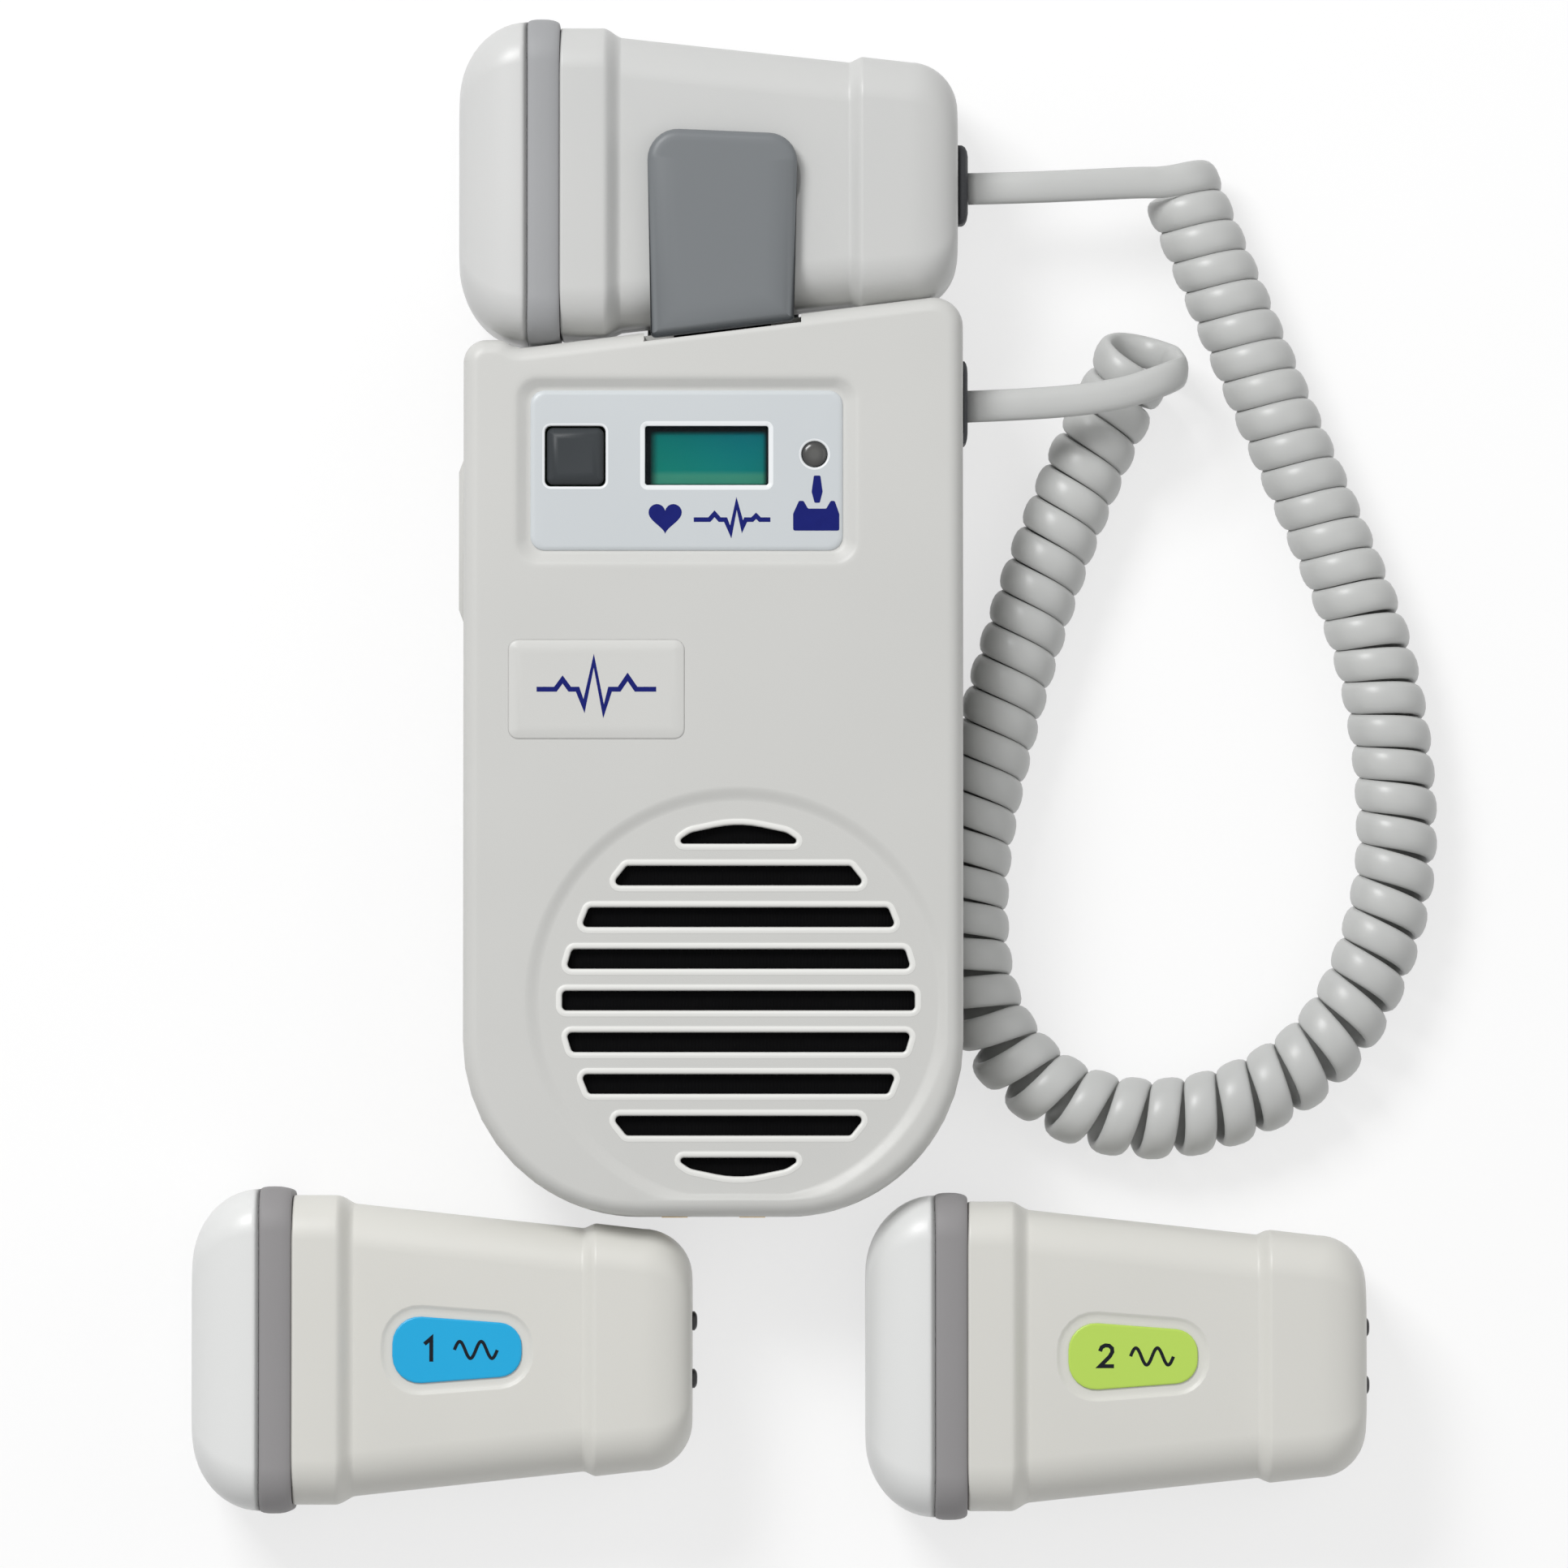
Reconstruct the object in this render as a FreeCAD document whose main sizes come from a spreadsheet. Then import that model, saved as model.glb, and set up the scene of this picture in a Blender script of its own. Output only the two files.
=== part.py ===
"""Fetal doppler monitor: a handheld unit lying on its back, one probe docked across its top with a curly
cord, and two spare probes. Millimetres, +X right, +Y to the unit's top, +Z out of its face. The origin is
on the unit's back face, on the centre line."""

import FreeCAD, Part
import math
import os
import Sketcher

Vector = FreeCAD.Vector
doc = FreeCAD.newDocument("fetal_doppler")
sheet = doc.addObject("Spreadsheet::Sheet", "Sizes")

SIZES = {
    # main unit, outline
    "unit_width": 77.0,
    "unit_bottom": 70.9,
    "unit_thickness": 30.0,
    "top_middle": 66.6,
    "top_rise": 9.5,
    "shoulder_height": 64.2,
    "shoulder_width": 6.1,
    "dip_width": 2.0,
    "bottom_radius": 27.0,
    "top_radius": 4.5,
    "shoulder_radius": 3.5,
    "dip_radius": 3.0,
    "edge_radius": 3.0,
    # main unit, walls
    "case_wall": 2.0,
    "face_wall": 2.2,
    "split_height": 19.0,
    "hump_depth": 13.5,
    "hump_half_width": 31.5,
    "hump_bottom": 58.0,
    "hump_top": 56.0,
    "hump_radius": 3.0,
    "hump_edge": 1.2,
    "partition_y": 4.0,
    # clearances
    "loose_gap": 0.3,
    "close_gap": 0.1,
    "running_gap": 0.05,
    # control panel
    "panel_x": -4.1,
    "panel_y": 43.9,
    "panel_width": 48.0,
    "panel_height": 24.6,
    "panel_depth": 1.2,
    "panel_slope": 2.2,
    "panel_corner": 2.0,
    "overlay_thickness": 0.4,
    "display_x": -1.0,
    "display_y": 46.2,
    "display_width": 19.0,
    "display_height": 9.1,
    "window_rim": 0.3,
    "window_thickness": 0.9,
    "module_rim": 3.0,
    "lamp_x": 15.6,
    "lamp_y": 46.4,
    "lamp_radius": 1.9,
    "lamp_proud": 0.5,
    # power button
    "button_x": -21.25,
    "button_y": 46.1,
    "button_size": 8.75,
    "button_proud": 1.0,
    "button_flange": 0.9,
    "button_travel": 0.6,
    # name plate blank
    "badge_x": -17.95,
    "badge_y": 10.1,
    "badge_width": 27.1,
    "badge_height": 15.3,
    "badge_pocket": 0.3,
    "badge_proud": 0.35,
    "badge_corner": 1.5,
    # loudspeaker
    "speaker_x": 3.9,
    "speaker_y": -37.75,
    "dish_radius": 32.2,
    "dish_depth": 0.7,
    "grille_radius": 27.5,
    "slot_pitch": 6.41,
    "slot_height": 3.1,
    "cloth_thickness": 0.3,
    "speaker_radius": 28.6,
    "speaker_flange": 1.2,
    "speaker_depth": 6.8,
    "magnet_radius": 11.0,
    "magnet_thickness": 2.4,
    # volume rocker
    "rocker_y": 33.25,
    "rocker_length": 25.3,
    "rocker_height": 4.0,
    "rocker_z": 23.2,
    "rocker_proud": 0.75,
    "rocker_pin_radius": 0.8,
    "rocker_pin_inset": 3.3,
    "rocker_switch_offset": 10.0,
    # cable grommet
    "grommet_y": 54.8,
    "grommet_length": 12.8,
    "grommet_height": 8.0,
    "grommet_z": 20.0,
    "grommet_proud": 0.4,
    "grommet_flange": 1.1,
    # battery compartment
    "cell_radius": 7.0,
    "cell_pitch": 14.4,
    "cell_length": 50.4,
    "contact_thickness": 0.6,
    "door_half_width": 28.5,
    "door_recess": 0.2,
    "door_thickness": 1.8,
    "door_lip": 1.2,
    # circuit board
    "board_half_width": 31.2,
    "board_bottom": 3.0,
    "board_top": 55.0,
    "board_underside": 18.0,
    "board_thickness": 1.6,
    "board_ledge": 1.5,
    # case screws
    "screw_x": 34.5,
    "screw_low_y": -28.0,
    "screw_left_y": 8.0,
    "screw_right_y": 38.0,
    "boss_radius": 2.4,
    "screw_head_radius": 1.9,
    "screw_head_height": 1.3,
    "screw_radius": 1.0,
    "screw_length": 10.5,
    # charging contacts
    "charge_x": 6.0,
    "charge_width": 4.0,
    "charge_height": 2.2,
    "charge_z": 17.0,
    # probe holder
    "holder_x": 1.4,
    "tongue_width": 23.3,
    "tongue_reach": 7.8,
    "tongue_lean": 1.0,
    "tongue_thickness": 3.0,
    "tongue_corner": 4.0,
    "tongue_edge": 1.0,
    "notch_depth": 1.5,
    "notch_gap": 0.8,
    "notch_floor_z": 21.0,
    "arm_half_width": 7.5,
    "arm_reach": 2.2,
    "pivot_inset": 3.2,
    "barrel_radius": 2.2,
    "clip_pin_radius": 1.0,
    "spring_wire": 0.35,
    "lug_width": 2.4,
    "cradle_half_width": 11.8,
    "cradle_thickness": 2.4,
    "cradle_reach": 6.8,
    "cradle_web": 4.0,
    # probes, all three alike
    "probe_length": 77.2,
    "probe_thickness": 28.0,
    "nose_length": 10.65,
    "nose_half": 24.8,
    "nose_tip_half": 12.8,
    "nose_tip_rise": 8.0,
    "band_width": 5.0,
    "band_half": 25.2,
    "band_proud": 0.3,
    "shoulder_length": 7.0,
    "shoulder_half": 23.85,
    "step_length": 2.25,
    "waist_front_half": 22.6,
    "waist_rear_half": 18.75,
    "waist_recess": 2.5,
    "rear_length": 14.9,
    "rear_step": 1.65,
    "rear_half": 19.15,
    "rear_taper": 0.85,
    "rear_recess": 1.0,
    "rear_round": 7.5,
    "rear_rise": 5.0,
    "section_radius": 7.0,
    "probe_wall": 2.0,
    "stud_radius": 1.5,
    "stud_spacing": 8.9,
    "stud_proud": 0.8,
    "label_x": 2.5,
    "label_length": 19.9,
    "label_front_height": 10.9,
    "label_rear_height": 7.9,
    "label_corner": 3.3,
    "label_thickness": 0.35,
    "label_depth": 0.4,
    "crystal_length": 9.2,
    "crystal_height": 6.2,
    "crystal_thickness": 0.7,
    "tuning_length": 30.0,
    "tuning_half": 14.0,
    "tuning_thickness": 1.2,
    # where the probes lie
    "docked_x": -0.8,
    "docked_z": 1.0,
    "spare_left_x": -41.9,
    "spare_left_y": -91.4,
    "spare_right_x": 62.1,
    "spare_right_y": -92.4,
    # plug and cord
    "plug_length": 12.4,
    "plug_height": 6.4,
    "plug_thickness": 1.6,
    "plug_edge": 0.6,
    "cord_width": 5.0,
    "coil_diameter": 12.6,
    # keys, switches and lamp, inside the case
    "button_flange_reach": 1.0,
    "button_stem_half": 1.5,
    "button_corner": 0.8,
    "button_edge": 0.6,
    "button_switch_drop": 3.3,
    "button_switch_half": 3.0,
    "switch_stroke": 1.2,
    "switch_plunger_radius": 1.7,
    "lamp_flange": 1.0,
    "lamp_bevel": 0.4,
    "lamp_wall": 0.4,
    "rocker_depth": 0.5,
    "rocker_taper": 2.0,
    "rocker_lug": 2.6,
    "rocker_lug_reach": 1.9,
    "rocker_pin_margin": 0.9,
    "volume_switch_gap": 0.6,
    "volume_switch_half": 2.2,
    "volume_switch_depth": 3.7,
    "volume_switch_height": 4.2,
    "volume_plunger": 0.7,
    "volume_plunger_radius": 0.9,
    # circuit board's parts and ledges
    "board_tab_margin": 3.0,
    "ledge_low_inset": 4.0,
    "ledge_high_inset": 20.0,
    "processor_x": -12.0,
    "processor_y": 22.0,
    "processor_width": 10.0,
    "processor_length": 10.0,
    "amplifier_x": 8.0,
    "amplifier_y": 18.0,
    "amplifier_width": 6.0,
    "amplifier_length": 8.0,
    "demodulator_x": 20.0,
    "demodulator_y": 28.0,
    "demodulator_width": 8.0,
    "demodulator_length": 6.0,
    "chip_height": 1.5,
    "capacitor_x": -24.0,
    "capacitor_y": 11.0,
    "capacitor_pitch": 7.0,
    "capacitor_radius": 2.5,
    "capacitor_height": 5.5,
    # battery door's grip and the contact strips
    "door_groove": 1.2,
    "grip_half": 9.0,
    "grip_start": 8.0,
    "grip_pitch": 2.2,
    "grip_width": 1.0,
    "grip_depth": 0.5,
    "contact_lift": 2.0,
    "contact_height": 10.0,
    # clip's hinge
    "lug_gap": 2.6,
    "lug_half": 1.8,
    "lug_drop": 1.6,
    "barrel_room": 1.3,
    "notch_margin": 0.5,
    "mouth_margin": 1.0,
    "mouth_low": 1.2,
    "tongue_taper": 0.6,
    "tongue_recess": 0.2,
    "spring_gap": 0.6,
    # inside the probes
    "nose_tip_shrink": 3.5,
    "rear_shrink": 2.0,
    "tuning_offset": 5.0,
    "tuning_drop": 1.0,
    "rib_width": 2.0,
    "rib_inset": 3.0,
    "can_inset": 8.0,
    "can_side": 10.0,
    "can_height": 6.0,
    "crystal_gap": 0.8,
    "stud_root": 3.0,
    "stud_flange": 0.7,
}

# Counts, and values that only the code uses.
OVERCUT = 1.0
FILLET_SHARE = 0.9
SLOTS = 9
CELLS = 4
GRIPS = 4
SPRING_TURNS = 3


# ---------------------------------------------------------------- lengths that know their formula

class Length(float):
    """A number together with the spreadsheet formula that gives it."""

    def __new__(cls, value, text=None):
        made = float.__new__(cls, value)
        made.text = text or "(%.6g)" % value
        return made

    def joined(self, other, sign, value):
        right = other if isinstance(other, Length) else Length(other)
        return Length(value, "(%s %s %s)" % (self.text, sign, right.text))

    def __add__(self, other):
        return self.joined(other, "+", float(self) + float(other))

    def __sub__(self, other):
        return self.joined(other, "-", float(self) - float(other))

    def __mul__(self, other):
        return self.joined(other, "*", float(self) * float(other))

    def __truediv__(self, other):
        return self.joined(other, "/", float(self) / float(other))

    def __radd__(self, other):
        return Length(other) + self

    def __rsub__(self, other):
        return Length(other) - self

    def __rmul__(self, other):
        return Length(other) * self

    def __neg__(self):
        return Length(0) - self


def root(value):
    """Square root of a length squared."""
    return Length(math.sqrt(value), "sqrt(%s)" % value.text)


def lesser(first, second):
    """The smaller of two lengths."""
    return Length(min(first, second), "min(%s; %s)" % (first.text, second.text))


def greater(first, second):
    """The larger of two lengths."""
    return Length(max(first, second), "max(%s; %s)" % (first.text, second.text))


for row, (name, value) in enumerate(SIZES.items(), start=1):
    sheet.set("A%d" % row, name)
    sheet.set("B%d" % row, str(value))
    sheet.setAlias("B%d" % row, name)
doc.recompute()


def size(name):
    """One driving dimension from the sheet."""
    return Length(float(sheet.get(name)), "Sizes." + name)


# ---------------------------------------------------------------- ways of making a piece

def origin_plane(body, role):
    """One of a body's own base planes."""
    return next(plane for plane in body.Origin.OriginFeatures if plane.Role == role)


def polygon_sketch(body, role, points, offset=None):
    """A closed polygon on a base plane of the body, every corner held by the sheet."""
    sketch = body.newObject("Sketcher::SketchObject", body.Name + "_sketch")
    sketch.AttachmentSupport = [(origin_plane(body, role), "")]
    sketch.MapMode = "FlatFace"
    if offset is not None:
        sketch.setExpression("AttachmentOffset.Base.z", offset.text)
    count = len(points)
    for index in range(count):
        start = Vector(*points[index], 0)
        end = Vector(*points[(index + 1) % count], 0)
        sketch.addGeometry(Part.LineSegment(start, end), False)
    for index in range(count):
        sketch.addConstraint(Sketcher.Constraint("Coincident", index, 2, (index + 1) % count, 1))
    for index, corner in enumerate(points):
        for kind, value in zip(("DistanceX", "DistanceY"), corner):
            number = sketch.addConstraint(Sketcher.Constraint(kind, -1, 1, index, 1, float(value)))
            if isinstance(value, Length):
                sketch.setExpression("Constraints[%d]" % number, value.text)
    return sketch


def upright_edges(shape, x, y):
    """Names of the edges that stand upright at one corner."""
    names = []
    for number, edge in enumerate(shape.Edges, start=1):
        ends = [edge.valueAt(edge.FirstParameter), edge.valueAt(edge.LastParameter)]
        if all(abs(end.x - x) < 1e-4 and abs(end.y - y) < 1e-4 for end in ends):
            names.append("Edge%d" % number)
    return names


def level_edges(shape, z):
    """Names of the edges that lie flat at one height."""
    names = []
    for number, edge in enumerate(shape.Edges, start=1):
        if abs(edge.BoundBox.ZMin - z) < 1e-4 and abs(edge.BoundBox.ZMax - z) < 1e-4:
            names.append("Edge%d" % number)
    return names


def round_edges(body, edges, radius):
    """A fillet on named edges of the body's newest feature."""
    base = body.Tip
    fillet = body.newObject("PartDesign::Fillet", body.Name + "_fillet")
    fillet.Base = (base, edges)
    fillet.setExpression("Radius", radius.text)
    doc.recompute()


def prism(name, points, bottom, top, corners=(), rim=None):
    """A padded polygon between two heights: corners pairs a corner's number with its radius, and rim is
    the height and radius of a rounded edge all the way round."""
    body = doc.addObject("PartDesign::Body", name)
    pad = body.newObject("PartDesign::Pad", name + "_pad")
    pad.Profile = polygon_sketch(body, "XY_Plane", points, Length(0) + bottom)
    pad.setExpression("Length", (top - bottom).text)
    doc.recompute()
    for radius in dict.fromkeys(radius for _, radius in corners):
        edges = []
        for index, other in corners:
            if other == radius:
                edges += upright_edges(body.Shape, *points[index])
        round_edges(body, edges, radius)
    if rim:
        height, radius = rim
        round_edges(body, level_edges(body.Shape, height), radius)
    return body


def rectangle(x, y, width, height):
    """Four corners of a rectangle, from its centre."""
    left, right = x - width / 2, x + width / 2
    low, high = y - height / 2, y + height / 2
    return [(left, low), (right, low), (right, high), (left, high)]


def all_corners(points, radius):
    """The same radius on every corner of an outline."""
    return [(index, radius) for index in range(len(points))]


def turned(name, profile, x, y):
    """A piece turned about an upright axis, from its half section of radius and height."""
    body = doc.addObject("PartDesign::Body", name)
    spin = body.newObject("PartDesign::Revolution", name + "_turn")
    spin.Profile = polygon_sketch(body, "XZ_Plane", profile)
    spin.ReferenceAxis = (spin.Profile[0], ["V_Axis"])
    spin.Angle = 360
    body.setExpression("Placement.Base.x", (Length(0) + x).text)
    body.setExpression("Placement.Base.y", (Length(0) + y).text)
    return body


def block(name, x, y, z):
    """A block between two values along each axis."""
    made = doc.addObject("Part::Box", name)
    for side, axis, (low, high) in (("Length", "x", x), ("Width", "y", y), ("Height", "z", z)):
        made.setExpression(side, (Length(0) + high - low).text)
        made.setExpression("Placement.Base." + axis, (Length(0) + low).text)
    return made


def rod(name, axis, start, length, radius):
    """A round rod from a start point along one axis of the part, or along the slanted top edge."""
    made = doc.addObject("Part::Cylinder", name)
    turn = {
        "z": FreeCAD.Rotation(),
        "y": FreeCAD.Rotation(Vector(1, 0, 0), -90),
        "x": FreeCAD.Rotation(Vector(0, 1, 0), 90),
        "edge": FreeCAD.Rotation(Vector(0, 0, 1), edge_angle()) * FreeCAD.Rotation(Vector(0, 1, 0), 90),
    }[axis]
    made.Placement = FreeCAD.Placement(Vector(0, 0, 0), turn)
    for place, value in zip("xyz", start):
        made.setExpression("Placement.Base." + place, (Length(0) + value).text)
    made.setExpression("Height", (Length(0) + length).text)
    made.setExpression("Radius", (Length(0) + radius).text)
    return made


def fused(name, shapes):
    """Several solids as one."""
    made = doc.addObject("Part::MultiFuse", name)
    made.Shapes = shapes
    made.Refine = True
    return made


def cut(name, base, tools):
    """A solid with others taken away from it."""
    made = doc.addObject("Part::Cut", name)
    made.Base = base
    made.Tool = tools[0] if len(tools) == 1 else fused(name + "_tools", tools)
    made.Refine = True
    return made


def group(name, shapes):
    """Separate solids that share one node."""
    made = doc.addObject("Part::Compound", name)
    made.Links = shapes
    return made


NODES = []


def node(piece, label):
    """Marks an object as a piece of the product."""
    piece.Label = label
    NODES.append(piece)
    return piece


# ---------------------------------------------------------------- the unit's outline

half_width = size("unit_width") / 2
thickness = size("unit_thickness")
wall = size("case_wall")
split = size("split_height")
hump = size("hump_depth")
gap = size("loose_gap")
close = size("close_gap")
face_underside = thickness - size("face_wall")
dip_x = size("shoulder_width") + size("dip_width") - half_width


def edge_angle():
    """Degrees by which the unit's top edge slants."""
    return math.degrees(math.atan(size("top_rise") / size("unit_width")))


def top_edge(x):
    """Height of the slanted top edge above a point of the width."""
    return size("top_middle") + x * size("top_rise") / size("unit_width")


def notch_floor(x):
    """Height of the notch in the top edge, in which the clip stands."""
    return top_edge(x) - size("notch_depth")


def case_body(name, bottom, top, rim_height):
    """The full outline of the case between two heights, with one rounded rim."""
    outline = [
        (-half_width, -size("unit_bottom")),
        (half_width, -size("unit_bottom")),
        (half_width, top_edge(half_width)),
        (dip_x, top_edge(dip_x)),
        (size("shoulder_width") - half_width, size("shoulder_height")),
        (-half_width, size("shoulder_height")),
    ]
    corners = [
        (0, size("bottom_radius")),
        (1, size("bottom_radius")),
        (2, size("top_radius")),
        (3, size("dip_radius")),
        (4, shoulder_fit()),
        (5, size("shoulder_radius")),
    ]
    rim_radius = lesser(size("edge_radius"), shoulder_fit() * FILLET_SHARE)
    return prism(name, outline, bottom, top, corners, (rim_height, rim_radius))


def shoulder_fit():
    """Radius of the shoulder's inner corner, which the flat between its two corners limits."""
    run = size("dip_width")
    drop = size("shoulder_height") - top_edge(dip_x)
    slope = root(run * run + drop * drop)
    room = (size("shoulder_width") - size("shoulder_radius")) * FILLET_SHARE
    return lesser(size("shoulder_radius"), room * root((slope + run) / (slope - run)))


def case_hollow(name, bottom, top):
    """The room inside the case between two heights."""
    inner = half_width - wall
    outline = [
        (-inner, wall - size("unit_bottom")),
        (inner, wall - size("unit_bottom")),
        (inner, top_edge(inner) - wall),
        (-inner, top_edge(-inner) - wall),
    ]
    radius = size("bottom_radius") - wall
    return prism(name, outline, bottom, top, [(0, radius), (1, radius)])


SCREWS = [
    (-size("screw_x"), size("screw_low_y")),
    (size("screw_x"), size("screw_low_y")),
    (-size("screw_x"), size("screw_left_y")),
    (size("screw_x"), size("screw_right_y")),
]


def slanted(x_left, x_right, low, high):
    """A parallelogram that follows the notch floor, from two heights above it."""
    return [
        (x_left, notch_floor(x_left) + low),
        (x_right, notch_floor(x_right) + low),
        (x_right, notch_floor(x_right) + high),
        (x_left, notch_floor(x_left) + high),
    ]


holder = size("holder_x")
tongue_left = holder - size("tongue_width") / 2
tongue_right = holder + size("tongue_width") / 2
arm_left = holder - size("arm_half_width")
arm_right = holder + size("arm_half_width")
pin_left = arm_left - size("lug_gap") - size("lug_width")
notch_margin = size("notch_margin")
pivot_z = face_underside - size("barrel_radius") - size("barrel_room")
grommet_low = size("grommet_z") - size("grommet_height") / 2
grommet_high = size("grommet_z") + size("grommet_height") / 2
grommet_start = size("grommet_y") - size("grommet_length") / 2
grommet_end = size("grommet_y") + size("grommet_length") / 2
rocker_start = size("rocker_y") - size("rocker_length") / 2
rocker_end = size("rocker_y") + size("rocker_length") / 2
rocker_low = size("rocker_z") - size("rocker_height") / 2
rocker_high = size("rocker_z") + size("rocker_height") / 2
panel_floor = thickness - size("panel_depth")
panel_outline = (size("panel_x"), size("panel_y"), size("panel_width"), size("panel_height"))


def panel_recess():
    """The sunk field of the control panel, its four walls sloping."""
    x, y, width, height = panel_outline
    slope = size("panel_slope")
    made = doc.addObject("Part::Wedge", "panel_recess")
    made.Placement = FreeCAD.Placement(Vector(0, 0, 0), FreeCAD.Rotation(Vector(1, 0, 0), 90))
    rise = size("panel_depth") + OVERCUT
    spread = slope / size("panel_depth") * rise
    values = {
        "Ymin": panel_floor, "Ymax": panel_floor + rise,
        "Xmin": x - width / 2, "Xmax": x + width / 2,
        "Zmin": -(y + height / 2), "Zmax": -(y - height / 2),
        "X2min": x - width / 2 - spread, "X2max": x + width / 2 + spread,
        "Z2min": -(y + height / 2) - spread, "Z2max": -(y - height / 2) + spread,
    }
    for name, value in values.items():
        made.setExpression(name, value.text)
    doc.recompute()
    rounded = doc.addObject("Part::Fillet", "panel_recess_rounded")
    rounded.Base = made
    radius = float(size("panel_corner"))
    sloping = [
        number for number, edge in enumerate(made.Shape.Edges, start=1)
        if edge.BoundBox.ZLength > 0.5 * rise
    ]
    rounded.Edges = [(number, radius, radius) for number in sloping]
    return rounded


def grille_slots():
    """Nine level slots, each as long as the round grille is wide at its height, with leaning ends."""
    slots = []
    radius = size("grille_radius")
    for index in range(SLOTS):
        middle = (index - SLOTS // 2) * size("slot_pitch")
        low = middle - size("slot_height") / 2
        high = middle + size("slot_height") / 2
        half_low = root(radius * radius - low * low)
        half_high = root(radius * radius - high * high)
        x, y = size("speaker_x"), size("speaker_y")
        outline = [
            (x - half_low, y + low), (x + half_low, y + low),
            (x + half_high, y + high), (x - half_high, y + high),
        ]
        slots.append(prism("grille_slot_%d" % index, outline, face_underside - OVERCUT,
                           thickness + OVERCUT))
    return slots


def grommet_hole(name):
    """The hole in the right side that the grommet's neck fills."""
    return block(name, (half_width - wall - OVERCUT, half_width + OVERCUT),
                 (grommet_start - close, grommet_end + close),
                 (grommet_low - close, grommet_high + close))


# ---------------------------------------------------------------- front case

def front_case():
    """The moulded face: walls, four screw bosses, the clip's two lugs and every opening."""
    shell = cut("front_shell", case_body("front_outer", split, thickness, thickness),
                [case_hollow("front_hollow", split - OVERCUT, face_underside)])
    solids = [shell]
    for index, (x, y) in enumerate(SCREWS):
        solids.append(rod("front_boss_%d" % index, "z", (x, y, split), face_underside - split + close,
                          size("boss_radius")))
    lug_half = size("lug_half")
    for side, start in (("left", pin_left), ("right", arm_right + size("lug_gap"))):
        lug = slanted(start, start + size("lug_width"), -size("pivot_inset") - lug_half,
                      lug_half - size("pivot_inset"))
        solids.append(prism("clip_lug_" + side, lug, pivot_z - size("lug_drop"), face_underside + close))
    width, height = size("display_width"), size("display_height")
    rim = size("window_rim") + close
    above = thickness + OVERCUT
    below = face_underside - OVERCUT
    opening = size("button_size") + gap * 2
    lamp = (size("lamp_x"), size("lamp_y"), below)
    tools = [
        panel_recess(),
        prism("button_hole", rectangle(size("button_x"), size("button_y"), opening, opening), below, above),
        prism("display_hole", rectangle(size("display_x"), size("display_y"), width + rim * 2,
                                        height + rim * 2), below, above),
        rod("lamp_hole", "z", lamp, above - below, size("lamp_radius") + close),
        rod("dish", "z", (size("speaker_x"), size("speaker_y"), thickness - size("dish_depth")),
            size("dish_depth") + OVERCUT, size("dish_radius")),
        badge("badge_pocket", size("badge_width") + close * 2, size("badge_height") + close * 2,
              thickness - size("badge_pocket"), above),
        block("rocker_slot", (-half_width - OVERCUT, wall + OVERCUT - half_width),
              (rocker_start - gap, rocker_end + gap), (rocker_low - gap, rocker_high + gap)),
        grommet_hole("front_grommet_hole"),
        prism("clip_notch", slanted(tongue_left - notch_margin, tongue_right + notch_margin, Length(0),
                                    size("notch_depth") + size("edge_radius") + OVERCUT),
              size("notch_floor_z"), above),
        prism("clip_mouth", slanted(arm_left - size("mouth_margin"), arm_right + size("mouth_margin"),
                                    -size("mouth_low"), Length(OVERCUT)),
              size("notch_floor_z"), face_underside),
        rod("front_pin_hole", "edge", edge_point(pin_left - OVERCUT),
            arm_right + size("lug_gap") + size("lug_width") - pin_left + OVERCUT * 2,
            size("clip_pin_radius") + size("running_gap") / 2),
    ]
    tools += grille_slots()
    for index, (x, y) in enumerate(SCREWS):
        tools.append(rod("pilot_hole_%d" % index, "z", (x, y, split - OVERCUT),
                         size("screw_length") - 3.0 + OVERCUT, size("screw_radius") + size("running_gap")))
    return cut("front_case", fused("front_solids", solids), tools)


def edge_point(x):
    """A point of the clip's pivot line, below the notch."""
    return (x, notch_floor(x) - size("pivot_inset"), pivot_z)


def badge(name, width, height, bottom, top):
    """The outline of the name plate blank between two heights."""
    outline = rectangle(size("badge_x"), size("badge_y"), width, height)
    return prism(name, outline, bottom, top, all_corners(outline, size("badge_corner")))


node(front_case(), "front_case")


# ---------------------------------------------------------------- rear case

hump_half = size("hump_half_width")
hump_low = -size("hump_bottom")
hump_high = size("hump_top")
inner_half = hump_half - wall
partition = -size("partition_y")
door_top = size("door_recess") + size("door_thickness")
lip_top = door_top + size("door_lip")
door_half = size("door_half_width")
lip_half = door_half + size("door_groove")
board_low = size("board_underside")
board_high = board_low + size("board_thickness")


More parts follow.
